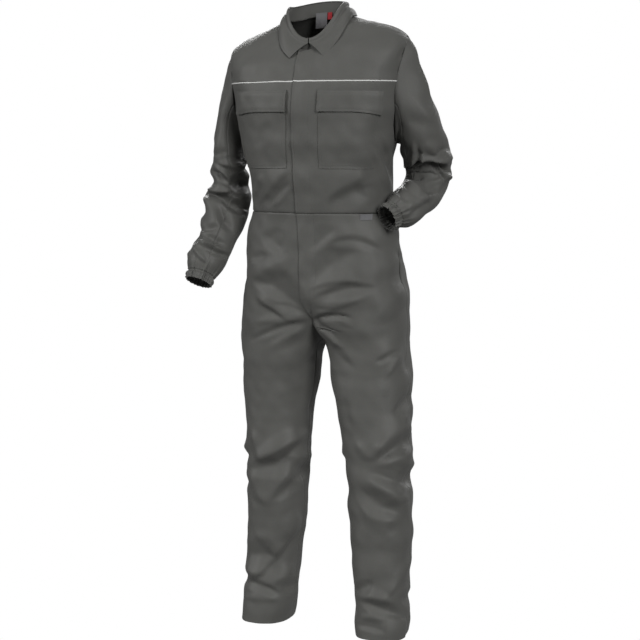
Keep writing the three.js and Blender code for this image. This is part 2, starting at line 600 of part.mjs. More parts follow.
// Lays the normals of a cuff seam's row into the plane of the seam.
function levelEnd(row, side) {
  const { down } = FRAMES[side][FRAME_STEPS];
  for (const { n } of row) n.addScaledVector(down, -n.dot(down)).normalize();
}

// Normals of a tube whose columns close, from its own neighbours.
function withNormals(points) {
  const rows = points.length;
  const cols = points[0].length;
  return points.map((row, i) => row.map((p, j) => {
    const up = points[Math.max(0, i - 1)][j];
    const down = points[Math.min(rows - 1, i + 1)][j];
    const left = points[i][(j + cols - 1) % cols];
    const right = points[i][(j + 1) % cols];
    const middle = row.reduce((sum, q) => sum.add(q), vec(0, 0, 0)).divideScalar(cols);
    const n = down.clone().sub(up).cross(right.clone().sub(left)).normalize();
    if (n.dot(p.clone().sub(middle)) < 0) n.negate();
    return { p, n };
  }));
}

// The two sides of an armhole seam meet on one slanted plane, a gap apart.
function mitre(hole, sleeve, inward) {
  const count = hole.length;
  return hole.map(({ p, n }, j) => {
    const along = hole[(j + 1) % count].p.clone().sub(hole[(j + count - 1) % count].p).normalize();
    const square = (v) => v.addScaledVector(along, -v.dot(along)).normalize();
    const toBody = square(inward[j].clone().sub(p));
    const toArm = square(sleeve[1][j].p.clone().sub(p));
    const split = square(toArm.clone().sub(toBody));
    let own = along.clone().cross(toArm).normalize();
    if (own.dot(sleeve[0][j].n) < 0) own.negate();
    const body = square(n.clone());
    const edge = body.clone().add(own).normalize();
    const long = Math.min(1.5, 1 / Math.max(0.1, edge.dot(body)));
    return { p, split, edge: edge.multiplyScalar(long) };
  });
}

const copyCell = ({ p, n }) => ({ p: p.clone(), n: n.clone() });
const suit = new THREE.Group();
const fronts = { '-1': frontGrid(-1), 1: frontGrid(1) };
const back = backGrid();

for (const side of [-1, 1]) {
  const tag = side < 0 ? 'right' : 'left';
  const { grid: arm, hole } = sleeveGrid(side);
  const front = fronts[side];
  const backCol = side > 0 ? 0 : back[0].length - 1;
  const backIn = side > 0 ? 1 : back[0].length - 2;
  const inward = [];
  for (let i = TIP_INDEX; i <= ARMPIT_INDEX; i += 1) inward.push(front[i][1].p.clone());
  for (let i = ARMPIT_INDEX - 1; i > TIP_INDEX; i -= 1) inward.push(back[i][backIn].p.clone());
  inward[0] = front[TIP_INDEX - 1][0].p.clone();
  inward[ARMPIT_INDEX - TIP_INDEX] = front[ARMPIT_INDEX + 1][0].p.clone();
  const joint = mitre(hole, arm, inward);
  const shift = (seam, way) => seam.p.clone().addScaledVector(seam.split, way * SEAM);
  const setEdge = (cell, seam) => {
    cell.p = shift(seam, -1);
    cell.n = seam.edge.clone();
  };
  drawBack(front, ['start']);
  if (side < 0) drawBack(front, ['end']);
  for (let i = TIP_INDEX; i <= ARMPIT_INDEX; i += 1) {
    setEdge(front[i][0], joint[i - TIP_INDEX]);
    const other = i === TIP_INDEX ? 0 : (hole.length - (i - TIP_INDEX)) % hole.length;
    setEdge(back[i][backCol], joint[i === ARMPIT_INDEX ? ARMPIT_INDEX - TIP_INDEX : other]);
  }
  front[TIP_INDEX][0].p.y -= SEAM;
  front[ARMPIT_INDEX][0].p.y -= SEAM;
  back[TIP_INDEX][backCol].p.y += SEAM;
  back[ARMPIT_INDEX][backCol].p.y += SEAM;
  for (let i = 0; i < back.length; i += 1) {
    if (i < TIP_INDEX || i > ARMPIT_INDEX) {
      const cell = back[i][backCol];
      const step = back[i][backIn].p.clone().sub(cell.p).setLength(SEAM);
      cell.p.add(step);
    }
  }
  arm[0] = joint.map((seam) => ({ p: shift(seam, 1), n: seam.edge.clone() }));
  const yoke = front.slice(0, PIPING_INDEX + 1).map((row) => row.map(copyCell));
  const chest = front.slice(PIPING_INDEX).map((row) => row.map(copyCell));
  suit.add(wallMesh(`front_yoke_${tag}`, CLOTH, drawBack(yoke, ['bottom'])));
  suit.add(wallMesh(`front_${tag}`, CLOTH, drawBack(chest, ['top', 'bottom'])));
  const top = arm.map((row) => [...row.slice(REAR_SEAM), ...row.slice(0, FRONT_SEAM + 1)].map(copyCell));
  const under = arm.map((row) => row.slice(FRONT_SEAM, REAR_SEAM + 1).map(copyCell));
  suit.add(wallMesh(`sleeve_top_${tag}`, CLOTH, drawBack(top, ['start', 'end'])));
  suit.add(wallMesh(`sleeve_under_${tag}`, CLOTH, drawBack(under, ['start', 'end'])));
}
suit.add(wallMesh('back', CLOTH, drawBack(back, ['bottom'])));

// Front or back of one leg. Rows run from the side seam to the middle or the inside leg seam.
// The outer columns keep their angles. The left front carries on as the fly lap.
const LEG_OUTER = [0, 18, 36, 54, 72];
const LEG_INNER = 6;
function legAngles(side, isBack, z) {
  const ring = legRing(side, z);
  const way = isBack ? 1 : -1;
  const slit = ease(SLIT_TOP_Z, SLIT_TOP_Z - 40, z) * ease(SLIT_END_Z, SLIT_END_Z + 40, z);
  const angles = LEG_OUTER.map((angle) => way * rad(angle));
  if (!isBack) angles[0] = -slit * SLIT_WIDE / ring.bf;
  const from = angles[angles.length - 1];
  if (side < 0 || isBack) {
    const end = angleAt(ring, SEAM, isBack);
    for (let j = 1; j <= LEG_INNER; j += 1) angles.push(mix(from, end, j / LEG_INNER));
    return angles;
  }
  const edge = flyEdge(z);
  const outer = ring.cx + ring.a * ringX(from);
  const wide = outer - FLY_RISE;
  const stops = [outer - wide / 4, outer - wide / 2, outer - wide * 0.75, FLY_RISE, FLY_FLAT, edge / 2, edge];
  const end = angleAt(ring, SEAM, false);
  const share = ease(FLY_END_Z, FLY_END_Z - 12, z);
  stops.forEach((across, j) => {
    const even = mix(from, end, (j + 1) / stops.length);
    angles.push(mix(angleAt(ring, Math.max(across, edge), false), even, share));
  });
  return angles;
}

// Past the middle the lap follows the other leg.
function legCell(side, z, angle, isLap) {
  const ring = legRing(side, z);
  const past = -(ring.cx + ring.a * ringX(angle));
  if (!isLap || past <= 0) return legCloth(side, z, angle, isLap);
  const other = legRing(-side, z);
  const cell = legCloth(-side, z, angleAt(other, past, false), false);
  moveOut(cell.p, cell.n, flyRise(-past, z), 1);
  return cell;
}

function legGrid(side, isBack) {
  const isLap = side > 0 && !isBack;
  return LEG_LEVELS.map((z) => (
    legAngles(side, isBack, z).map((angle) => legCell(side, z, angle, isLap))
  ));
}

for (const side of [-1, 1]) {
  const tag = side < 0 ? 'right' : 'left';
  suit.add(wallMesh(`front_leg_${tag}`, CLOTH, drawBack(legGrid(side, false), ['start', 'end', 'top'])));
  suit.add(wallMesh(`back_leg_${tag}`, CLOTH, drawBack(legGrid(side, true), ['start', 'end', 'top'])));
}

// Places on the front for what lies on it.

// The body row, above or below the waist seam, that has a given height at a given place across.
function frontAt(side, across, z) {
  if (z < TORSO[TORSO_END].zs) {
    return legCloth(side, z, angleAt(legRing(side, z), across, false), false);
  }
  let low = 0.3;
  let high = TORSO_END;
  for (let i = 0; i < 40; i += 1) {
    const t = (low + high) / 2;
    const ring = torsoRing(t);
    if (torsoPoint(side, t, angleAt(ring, across, false)).z > z) low = t;
    else high = t;
  }
  const angle = angleAt(torsoRing(low), across, false);
  return { ...torsoCloth(side, low, angle, false), angle, t: low };
}

const lifted = ({ p, n }, distance) => ({ p: p.clone().addScaledVector(n, distance), n: n.clone() });
const steps = (count, from = 0) => {
  const list = [];
  for (let i = from; i <= count; i += 1) list.push(i / count);
  return list;
};

// A point of the pocket: share of the way out, at a height. wider: past both of its sides.
function pocketCell(side, share, z, wider, distance) {
  const near = POCKET.near - wider;
  const down = (z - POCKET.top) / (POCKET.end - POCKET.top);
  const far = mix(POCKET.farTop, POCKET.farEnd, down) + wider;
  const start = frontAt(side, near, z).angle;
  const end = frontAt(side, far, z).angle;
  const ring = torsoRing(frontAt(side, near, z).t);
  const across = ring.a * ringX(mix(start, end, share));
  return lifted(frontAt(side, across, z), distance);
}

function pocketGrid(side) {
  return steps(6).map((down) => steps(10).map((out) => (
    pocketCell(side, out, mix(POCKET.top, POCKET.end, down), 0, POCKET_LIFT + WALL)
  )));
}

// The flap steps up onto the pocket just below its seam and falls a little longer at its far end.
function flapGrid(side) {
  return [0, 0.1, 0.2, 0.6, 1].map((down) => steps(10).map((out) => {
    const end = FLAP.end - FLAP.drop * ease(0.45, 1, out);
    const rise = (POCKET_LIFT + WALL) * ease(0.02, 0.2, down);
    return pocketCell(side, out, mix(FLAP.top, end, down), FLAP.wider, POCKET_LIFT + WALL + rise);
  }));
}

// Piping in the yoke seam, crowned, from near the armhole to the fly edge.
function pipingGrid(side) {
  const grid = frontGrid(side);
  const row = (k) => {
    const cells = grid[PIPING_INDEX + k].map(({ p, n }) => ({ p: p.clone(), n: n.clone() }));
    cells[0].p.lerp(cells[1].p, 0.06);
    if (side < 0) {
      const last = cells[cells.length - 1].p;
      const before = cells[cells.length - 2].p;
      const middle = torsoRing(pipingRow(side, 1)).ox;
      last.lerp(before, (FLY_LAP + 2 - (middle - last.x)) / (last.x - before.x));
    }
    return cells;
  };
  const above = row(-1);
  const here = row(0);
  const below = row(1);
  return [-1, -0.4, 0.4, 1].map((level) => here.map((cell, j) => {
    const made = lifted(cell, LIFT + PIPING_THICK * (Math.abs(level) === 1 ? 0.7 : 1));
    const to = level < 0 ? above[j].p : below[j].p;
    const way = to.clone().sub(cell.p).setLength(Math.abs(level) * PIPING_TALL / 2);
    made.p.add(way);
    return made;
  }));
}

for (const side of [-1, 1]) {
  const tag = side < 0 ? 'right' : 'left';
  suit.add(wallMesh(`chest_pocket_${tag}`, CLOTH, pocketGrid(side)));
  suit.add(wallMesh(`pocket_flap_${tag}`, CLOTH, flapGrid(side)));
  suit.add(wallMesh(`piping_${tag}`, REFLECTIVE, pipingGrid(side), false, PIPING_THICK * 0.6));
}

// Collar. Columns run from the right front round the back to the left front.

// Normals of an open grid that stands round the neck.
function openNormals(points, hint) {
  const rows = points.length;
  const cols = points[0].length;
  return points.map((row, i) => row.map((p, j) => {
    const up = points[Math.max(0, i - 1)][j];
    const down = points[Math.min(rows - 1, i + 1)][j];
    const left = row[Math.max(0, j - 1)];
    const right = row[Math.min(cols - 1, j + 1)];
    const n = down.clone().sub(up).cross(right.clone().sub(left)).normalize();
    if (n.dot(hint(p)) < 0) n.negate();
    return { p, n };
  }));
}

const round = (list) => [
  ...list.map((angle) => ({ side: -1, angle })),
  ...list.slice(0, -1).reverse().map((angle) => ({ side: 1, angle })),
];
const collarTop = (side, degrees) => ringPoint(COLLAR_TOP, side, rad(degrees));

function standGrid() {
  const places = round(COLLAR_COLUMNS);
  const points = [0, 0.5, 1].map((up) => places.map(({ side, angle }) => {
    const foot = torsoPoint(side, 0, rad(angle));
    foot.z += 2 * SEAM;
    return foot.lerp(collarTop(side, angle), up);
  }));
  return openNormals(points, (p) => vec(p.x - COLLAR_TOP.ox, p.y, 0.1));
}

function leafGrid() {
  const places = round(COLLAR_COLUMNS);
  const shape = [
    { v: 0, out: -1, up: WALL + 2 * LIFT },
    { v: 0.3, out: 2.2, up: WALL + 2 * LIFT },
    { v: 0.6, out: LEAF_ROLL, up: -2 },
    { v: 1, out: LEAF_ROLL + 1, up: -9 },
  ];
  const folds = places.map(({ side, angle }) => collarTop(side, angle));
  const columns = places.map(({ side, angle }, j) => {
    const fold = folds[j];
    const along = folds[Math.min(folds.length - 1, j + 1)].clone().sub(folds[Math.max(0, j - 1)]);
    along.normalize();
    const rise = vec(0, 0, 1).addScaledVector(along, -along.z).normalize();
    const out = vec(side * Math.cos(rad(angle)), Math.sin(rad(angle)) * 1.1, 0).normalize();
    const edgeAngleHere = rad(column(LEAF, 'top', angle, 'edge'));
    const rest = torsoCloth(side, column(LEAF, 'top', angle, 't'), edgeAngleHere, false);
    const edge = lifted(rest, WALL + LIFT + 1.4 + (side > 0 ? FLY_LIFT : 0)).p;
    const list = shape.map(({ out: o, up }) => (
      fold.clone().addScaledVector(out, o).addScaledVector(rise, up)
    ));
    const from = list[list.length - 1];
    for (const share of [0.25, 0.5, 0.75, 1]) {
      const p = from.clone().lerp(edge, share);
      p.addScaledVector(out, 3.2 * Math.sin(Math.PI * share));
      p.z += 2.5 * Math.sin(Math.PI * share);
      list.push(p);
    }
    return list;
  });
  const points = columns[0].map((_, i) => columns.map((col) => col[i]));
  return openNormals(points, (p) => vec(p.x - COLLAR_TOP.ox, p.y, 60));
}
suit.add(wallMesh('collar_stand', CLOTH, standGrid()));
suit.add(wallMesh('collar_leaf', CLOTH, leafGrid()));

// Gathered elastic cuffs. The first row is the end of the sleeve, so it has its corners.
function cuffGrid(side) {
  const last = sleeveTable(side).length - 1;
  const frame = FRAMES[side][FRAME_STEPS];
  const corners = armhole(side).length;
  const each = 3;
  const ring = [];
  for (let j = 0; j < corners; j += 1) {
    const from = armPoint(side, last, 2 * Math.PI * j / corners);
    const to = armPoint(side, last, 2 * Math.PI * (j + 1) / corners);
    for (let k = 0; k < each; k += 1) ring.push(from.clone().lerp(to, k / each));
  }
  const middle = armMiddle(side, last);
  const rows = [
    { down: 0, size: 1, wave: 0 },
    { down: 5, size: 0.97, wave: 0.7 },
    { down: 15, size: 1, wave: 1 },
    { down: CUFF_LONG, size: 0.92, wave: 0.8 },
  ];
  const points = rows.map(({ down, size, wave }) => ring.map((p, j) => {
    const from = p.clone().sub(middle);
    const reach = from.length();
    const wavy = CUFF_WAVE_DEEP * wave * Math.cos(2 * Math.PI * CUFF_WAVES * j / ring.length);
    from.multiplyScalar(size + wavy / reach);
    return middle.clone().add(from).addScaledVector(frame.down, down + 2 * SEAM);
  }));
  const cells = withNormals(points);
  levelEnd(cells[0], side);
  return cells;
}
for (const side of [-1, 1]) {
  suit.add(wallMesh(`cuff_${side < 0 ? 'right' : 'left'}`, CLOTH, cuffGrid(side), true));
}

// Hidden closed zip on its tape behind the fly, and the facings behind the side openings.
function behind(cell, distance) {
  return { p: cell.p.clone().addScaledVector(cell.n, -distance), n: cell.n.clone() };
}
function zipGrid() {
  const grid = [];
  const right = frontGrid(-1);
  const left = frontGrid(1);
  for (let i = 1; i < right.length; i += 1) {
    const ends = right[i].slice(-2);
    grid.push([
      { p: ends[1].p.clone().lerp(ends[0].p, 0.35), n: ends[1].n },
      ends[1],
      left[i][FRONT_COLUMNS],
    ]);
  }
  for (const z of LEG_LEVELS.filter((level) => level < LEG_LEVELS[0] && level > -720)) {
    const near = legAngles(-1, false, z).slice(-2).map((angle) => legCloth(-1, z, angle, false));
    const rise = legCloth(1, z, angleAt(legRing(1, z), FLY_RISE, false), false);
    grid.push([
      { p: near[1].p.clone().lerp(near[0].p, 0.35), n: near[1].n },
      near[1],
      rise,
    ]);
  }
  return grid.map((row) => row.map((cell) => behind(cell, WALL + 0.8)));
}
suit.add(wallMesh('front_zip', CLOTH_INSIDE, zipGrid(), false, 1.4));

function facingGrid(side) {
  const levels = LEG_LEVELS.filter((z) => z < LEG_LEVELS[0] && z > SLIT_END_Z - 40);
  return levels.map((z) => {
    const seam = legCloth(side, z, 0, false);
    const front = legCloth(side, z, rad(-LEG_OUTER[1]), false);
    const rear = legCloth(side, z, rad(LEG_OUTER[1]), false);
    return [
      { p: seam.p.clone().lerp(front.p, 0.85), n: front.n },
      seam,
      { p: seam.p.clone().lerp(rear.p, 0.4), n: seam.n },
    ].map((cell) => behind(cell, WALL + 0.6));
  });
}
for (const side of [-1, 1]) {
  suit.add(wallMesh(`hip_facing_${side < 0 ? 'right' : 'left'}`, CLOTH_INSIDE, facingGrid(side), false, 1.5));
}

// Bare labels: two inside the back of the neck, one in the waist seam.
function neckLabel(name, look, from, wide, tall) {
  const heights = [0, 0.5, 1];
  const grid = heights.map((down) => steps(2).map((share) => {
    const x = from + wide * share;
    const ring = torsoRing(0);
    const angle = angleAt(ring, Math.abs(x), true);
    const p = torsoPoint(x < 0 ? -1 : 1, 0, angle);
    p.y -= WALL + LIFT + 1.2 + 2 * down;
    p.z += 8 - tall * down;
    return { p, n: vec(0, 1, 0) };
  }));
  suit.add(wallMesh(name, look, grid, false, 1));
}
neckLabel('neck_label', LABEL_GREY, -24, LABELS.neckWide, LABELS.neckTall);
neckLabel('neck_tag', LABEL_RED, 6.5, LABELS.tagWide, LABELS.tagTall);
suit.add(wallMesh('waist_label', LABEL_GREY, steps(2).map((down) => steps(2).map((out) => (
  lifted(
    frontAt(1, mix(129, 129 + LABELS.waistWide, out), mix(-482, -482 - LABELS.waistTall, down)),
    LIFT + 1,
  )
))), false, 1));

export default suit;
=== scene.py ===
"""Boiler suit, worn and filled out with no wearer in it: its look.

Sizes are millimetres and turn to metres where a mesh is made. The axes are the model's: +X is the
wearer's left, -Y the front, +Z up, and the origin is the middle of the neck base.
"""

import itertools
import math

import bpy
import numpy as np
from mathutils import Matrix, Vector


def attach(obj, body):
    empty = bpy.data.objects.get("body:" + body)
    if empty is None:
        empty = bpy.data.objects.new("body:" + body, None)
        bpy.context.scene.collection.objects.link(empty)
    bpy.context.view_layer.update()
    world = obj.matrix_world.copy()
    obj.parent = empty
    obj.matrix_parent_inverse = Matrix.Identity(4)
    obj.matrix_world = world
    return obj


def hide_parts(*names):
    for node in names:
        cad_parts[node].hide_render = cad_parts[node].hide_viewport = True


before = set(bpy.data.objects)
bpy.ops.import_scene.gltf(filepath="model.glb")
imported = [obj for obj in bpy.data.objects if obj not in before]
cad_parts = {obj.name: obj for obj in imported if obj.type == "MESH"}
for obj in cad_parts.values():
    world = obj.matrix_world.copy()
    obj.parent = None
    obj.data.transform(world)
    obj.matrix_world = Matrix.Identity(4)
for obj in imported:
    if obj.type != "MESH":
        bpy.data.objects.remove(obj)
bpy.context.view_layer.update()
MM = 0.001
CELL = 4.6  # size of a cloth cell
NEAR_EDGE = (0.0, 0.9, 2.0, 3.6, 6.0, 9.0)  # rows of cells beside a sewn edge

# The cut: the same sizes as the model's

CLOTH_THICK = 1.1
DOUBLE_THICK = 2.0
MODEL_WALL = 2.0
SQUARE = 0.035  # how square the body rings are
PIPING_Z = -163.0
PIPING_TALL = 3.4
PIPING_THICK = 1.8
FLY_LAP = 24.0
FLY_FLAT = 2.0
FLY_RISE = 20.0
FLY_LIFT = 2.9
FLY_CURVE_Z = -680.0
FLY_END_Z = -760.0
SLIT_TOP_Z = -552.0
SLIT_END_Z = -700.0
SLIT_WIDE = 5.0
CUFF_LONG = 24.0
ARMHOLE_FRONT = 23.0
ARMHOLE_BACK = 19.0
TILT_TOP = 0.065  # how much the left of the chest stands higher, at the shoulders
TILT_LOW = 0.008
TILT_GROWS_Z = (-170, -70)
TILT_STARTS_Z = (-420, -300)
WEB_TOP_Z = -640.0
WEB_END_Z = -794.0
WAIST_Z = -481.0
HEM_Z = -1550.0


def table(names, rows):
    """A table of numbers by column name."""
    return {name: np.array(values, float) for name, values in zip(names.split(), zip(*rows))}


# Torso rings from the neck to the waist seam. a: half width. bf, bb: depth to front and back.
# zs, zf, zb: height at the sides, front and back. ox, cy: where the ring's middle lies.
TORSO = table("t a bf bb zs zf zb ox cy", [
    (0, 74, 77, 60, -4, -86, 6, 4, 0),
    (1, 100, 92, 78, -12, -100, -3, 6, 0),
    (2, 158, 114, 104, -30, -129, -34, 7, 0),
    (3, 223, 134, 124, -64, -165, -90, 9, 0),
    (4, 226, 146, 134, -138, -206, -156, 9, 0),
    (5, 217, 150, 138, -216, -246, -224, 9, 0),
    (6, 195, 149, 138, -306, -306, -306, 8, 0),
    (7, 183, 144, 133, -366, -366, -366, 9, 2),
    (8, 177, 138, 127, -428, -428, -428, 12, 4),
    (9, 176, 130, 120, -481, -481, -481, 13, 6),
])
TORSO_END = 9
TIP = 3
ARMPIT = 6

# Leg rings. cx: the leg's own middle, out from the middle of the body.
LEG_TOP = [
    (-481, 13, 0, 6, 176, 130, 120),
    (-520, 16, 5, 8, 185, 132, 124),
    (-570, 18, 18, 11, 178, 134, 129),
    (-650, 18, 51, 16, 153, 136, 136),
    (-725, 18, 86, 20, 127, 133, 136),
]
LEG_NAMES = "z ox cx cy a bf bb"
LEG = {
    -1: table(LEG_NAMES, LEG_TOP + [
        (-800, 18, 108, 22, 107, 122, 128),
        (-880, 18, 121, 22, 94, 112, 117),
        (-1000, 20, 127, 20, 82, 102, 108),
        (-1126, 24, 135, 16, 77, 95, 96),
        (-1250, 24, 138, 16, 72, 86, 92),
        (-1400, 22, 149, 18, 69, 78, 86),
        (-1550, 20, 162, 20, 65, 76, 84),
    ]),
    1: table(LEG_NAMES, LEG_TOP + [
        (-800, 18, 108, 20, 107, 122, 128),
        (-880, 18, 121, 14, 100, 113, 117),
        (-1000, 20, 135, 4, 89, 105, 108),
        (-1126, 24, 145, -6, 81, 97, 96),
        (-1250, 24, 152, -12, 77, 88, 92),
        (-1400, 22, 159, -18, 70, 80, 86),
        (-1550, 20, 164, -22, 64, 78, 84),
    ]),
}

# Sleeve rings from just under the armhole to the cuff seam. ra: half size across the arm.
# rf, rb: half size to its front and to its back.
SLEEVE = {
    -1: table("s x y z ra rf rb", [
        (0, -233, 6, -330, 35, 78, 80),
        (1, -238, 12, -398, 46, 72, 74),
        (2, -242, 12, -452, 54, 64, 68),
        (3, -248, -18, -505, 54, 56, 62),
        (4, -257, -58, -560, 49, 52, 56),
        (5, -266, -88, -608, 47, 48, 50),
        (6, -272, -104, -638, 35, 36, 36),
    ]),
    1: table("s x y z ra rf rb", [
        (0, 262, 46, -318, 60, 62, 68),
        (1, 269, 66, -353, 60, 50, 66),
        (2, 270, 70, -394, 56, 42, 58),
        (3, 261, 43, -428, 53, 44, 54),
        (4, 247, 2, -453, 50, 46, 48),
        (5, 236, -36, -471, 46, 44, 44),
        (6, 218, -61, -483, 34, 34, 34),
    ]),
}
SLEEVE_END = 6

COLLAR_TOP = dict(a=71, bf=73, bb=57, zs=27, zf=-59, zb=38, ox=4, cx=0, cy=-2, web=0)
LEAF = table("top edge t", [
    (-89, -72.5, 1.5),
    (-70, -58, 1.28),
    (-45, -38, 1.02),
    (-20, -16, 0.84),
    (0, 0, 0.78),
    (45, 45, 0.9),
    (90, 90, 1.05),
])
LEAF_ROLL = 5.5
POCKET = dict(near=42, far_top=181, far_end=161, top=-197, end=-371)
POCKET_LIFT = 0.6
FLAP = dict(wider=2.5, top=-183, end=-235, drop=6)
# front, rear: degrees round the leg, from its side
FACING = dict(top=-512.0, end=-735.0, front=15.3, rear=7.2, depth=3.4)
ZIP = dict(top=-112.0, end=-672.0, half=15.0, depth=4.2, pitch=2.6)
LIFT = 0.4

# Widths and lengths that set how many cells a piece takes.
FRONT_WIDE = 230.0
BACK_WIDE = 460.0
LEG_WIDE = 300.0
TORSO_LONG = 620.0
LEG_LONG = 1070.0


# Small helpers


def mix(low, high, share):
    return low + (high - low) * share


def ease(low, high, value):
    share = np.clip((value - low) / (high - low), 0, 1)
    return share * share * (3 - 2 * share)


def dot(a, b):
    return np.sum(a * b, axis=-1, keepdims=True)


def unit(v):
    return v / np.maximum(1e-9, np.sqrt(dot(v, v)))


def ridge(distance, width):
    """A smooth rise to 1 at distance 0."""
    return np.exp(-((distance / width) ** 2))


def running(line):
    """The running length at each point of a line."""
    return np.concatenate([[0], np.cumsum(np.sqrt(np.sum(np.diff(line, axis=0) ** 2, 1)))])


def along_line(at, run, values):
    """Values of a line of points at running lengths."""
    return np.stack([np.interp(at, run, values[:, k]) for k in range(3)], -1)


def halve(low, high, steps, is_before):
    """Closes in on the place between low and high up to which is_before holds."""
    for _ in range(steps):
        middle = (low + high) / 2
        before = is_before(middle)
        low = np.where(before, middle, low)
        high = np.where(before, high, middle)
    return low


def direction(azimuth, elevation):
    """The way out to an azimuth, 0 in front and plus to the left, and an elevation, in degrees."""
    az, el = math.radians(azimuth), math.radians(elevation)
    return np.array([math.sin(az) * math.cos(el), -math.cos(az) * math.cos(el), math.sin(el)])


def column(rows, key, at, name):
    """Smooth value of one column of a table."""
    keys, values = rows[key], rows[name]
    way = 1 if keys[-1] > keys[0] else -1
    last = len(keys) - 1
    low = np.maximum(0, np.arange(last + 1) - 1)
    high = np.minimum(last, np.arange(last + 1) + 1)
    slopes = (values[high] - values[low]) / (keys[high] - keys[low])
    at = np.asarray(at, float)
    i = np.clip(np.searchsorted(way * keys, way * at, side="right") - 1, 0, last - 1)
    span = keys[i + 1] - keys[i]
    s = np.clip((at - keys[i]) / span, 0, 1)
    return (
        (2 * s**3 - 3 * s**2 + 1) * values[i]
        + (s**3 - 2 * s**2 + s) * span * slopes[i]
        + (3 * s**2 - 2 * s**3) * values[i + 1]
        + (s**3 - s**2) * span * slopes[i + 1]
    )


def spread(length, low=True, high=True, cell=None):
    """Shares from 0 to 1 about a cell apart, closer at the sewn ends."""
    cell = cell or CELL
    near = [d for d in NEAR_EDGE if d < length / 3]
    start = near if low else [0.0]
    end = [length - d for d in reversed(near)] if high else [length]
    count = max(1, round((end[0] - start[-1]) / cell))
    middle = [mix(start[-1], end[0], k / count) for k in range(1, count)]
    return np.array(start + middle + end) / length


# The body's own surface


def torso_ring(t):
    ring = {name: column(TORSO, "t", t, name) for name in TORSO if name != "t"}
    ring.update(cx=0.0, web=0.0)
    return ring


def leg_ring(side, z):
    ring = {}
    for name in ("ox", "cx", "cy", "a", "bf", "bb"):
        ring[name] = np.where(side < 0, column(LEG[-1], "z", z, name), column(LEG[1], "z", z, name))
    ring.update(zs=z, zf=z, zb=z, web=1 - ease(WEB_TOP_Z, WEB_END_Z, z))
    return ring


def ring_x(angle):
    return (np.cos(angle) - SQUARE * np.cos(3 * angle)) / (1 - SQUARE)


def ring_y(angle):
    return (np.sin(angle) + SQUARE * np.sin(3 * angle)) / (1 - SQUARE)


def ring_point(ring, side, angle):
    """A point of a body ring. The angle is 0 at the side, minus to the front, plus to the back."""
    x = ring["ox"] + side * (ring["cx"] + ring["a"] * ring_x(angle))
    depth = ring_y(angle)
    depth = np.where(np.abs(angle) > math.pi / 2, depth + (np.sign(angle) - depth) * ring["web"], depth)
    y = ring["cy"] + np.where(angle < 0, ring["bf"], ring["bb"]) * depth
    level = np.where(angle < 0, ring["zf"], ring["zb"])
    z = mix(ring["zs"], level, np.sin(angle) ** 2)
    tilt = mix(TILT_LOW, TILT_TOP, ease(*TILT_GROWS_Z, z)) * ease(*TILT_STARTS_Z, z)
    z = z + tilt * (x - ring["ox"])
    return np.stack(np.broadcast_arrays(x, y, z), axis=-1)


def torso_point(side, t, angle):
    return ring_point(torso_ring(t), side, angle)


def leg_point(side, z, angle):
    return ring_point(leg_ring(side, z), side, angle)


TURN_STEP = 0.01  # angle between the two places that a slope is measured at
TORSO_STEP = 0.02
LEG_STEP = 2.0


def body_normal(surface, side, row, angle, low_row, high_row, step):
    low = surface(side, np.clip(row - step, low_row, high_row), angle)
    high = surface(side, np.clip(row + step, low_row, high_row), angle)
    before = surface(side, row, angle - TURN_STEP)
    after = surface(side, row, angle + TURN_STEP)
    n = unit(np.cross(high - low, after - before))
    out = np.stack(np.broadcast_arrays(side * np.cos(angle), np.sin(angle), 0.3), axis=-1)
    return np.where(dot(n, out) < 0, -n, n)


def angle_at(ring, across, back):
    """The angle at which a ring reaches a place across the body, from its own middle."""
    shape = np.broadcast(ring["a"], across).shape
    angle = halve(np.zeros(shape), np.full(shape, math.pi), 32,
                  lambda turn: ring["cx"] + ring["a"] * ring_x(turn) > across)
    return np.where(back, angle, -angle)


MIDDLE_GAP = 0.2  # half the gap between the two legs' panels at the middle
FLY_FADE = 14  # over this height the lap goes flat below its end
FLY_EVEN = 12  # and over this height its columns turn even
FLY_LEVEL_Z = (-430, -475)  # between these heights the lap starts to keep its level
NECK_LEVEL_T = (0, 0.6)  # rows over which it does so at the neck


def fly_rise(x, z):
    return FLY_LIFT * (1 - ease(FLY_FLAT, FLY_RISE, x)) * (1 - ease(FLY_END_Z, FLY_END_Z - FLY_FADE, z))


def fly_edge(z):
    return mix(-FLY_LAP, MIDDLE_GAP, ease(FLY_CURVE_Z, FLY_END_Z, z))


def move_out(p, n, distance, level):
    """Moves points out; level keeps their height."""
    way = n.copy()
    way[..., 2] *= 1 - level
    way = unit(way)
    return p + way * (np.asarray(distance)[..., None] / dot(way, n))


def torso_cloth(side, t, angle, lap=False):
    p = torso_point(side, t, angle)
    n = body_normal(torso_point, side, t, angle, 0, TORSO_END, TORSO_STEP)
    if lap:
        level = np.maximum(ease(*FLY_LEVEL_Z, p[..., 2]), 1 - ease(*NECK_LEVEL_T, t))
        p = move_out(p, n, fly_rise(p[..., 0] - torso_ring(t)["ox"], p[..., 2]), level)
    return p, n


def leg_cloth(side, z, angle, lap=False):
    p = leg_point(side, z, angle)
    n = body_normal(leg_point, side, z, angle, HEM_Z, WAIST_Z, LEG_STEP)
    if lap:
        p = move_out(p, n, fly_rise(p[..., 0] - leg_ring(side, z)["ox"], z), 1)
    return p, n


def leg_cell(side, z, angle, lap):
    """A point of a leg; past the middle the lap follows the other leg."""
    p, n = leg_cloth(side, z, angle, lap)
    if not lap:
        return p, n
    ring = leg_ring(side, z)
    past = -(ring["cx"] + ring["a"] * ring_x(angle))
    other = leg_ring(-side, z)
    q, m = leg_cloth(-side, z, angle_at(other, np.maximum(past, 0), False))
    q = move_out(q, m, fly_rise(-past, z), 1)
    over = (past > 0)[..., None]
    return np.where(over, q, p), np.where(over, m, n)


# Panels as grids of points


ARMHOLE_ROUND = 0.8
PIPING_ROWS = (1.0, 6.0)  # the piping lies between these rows


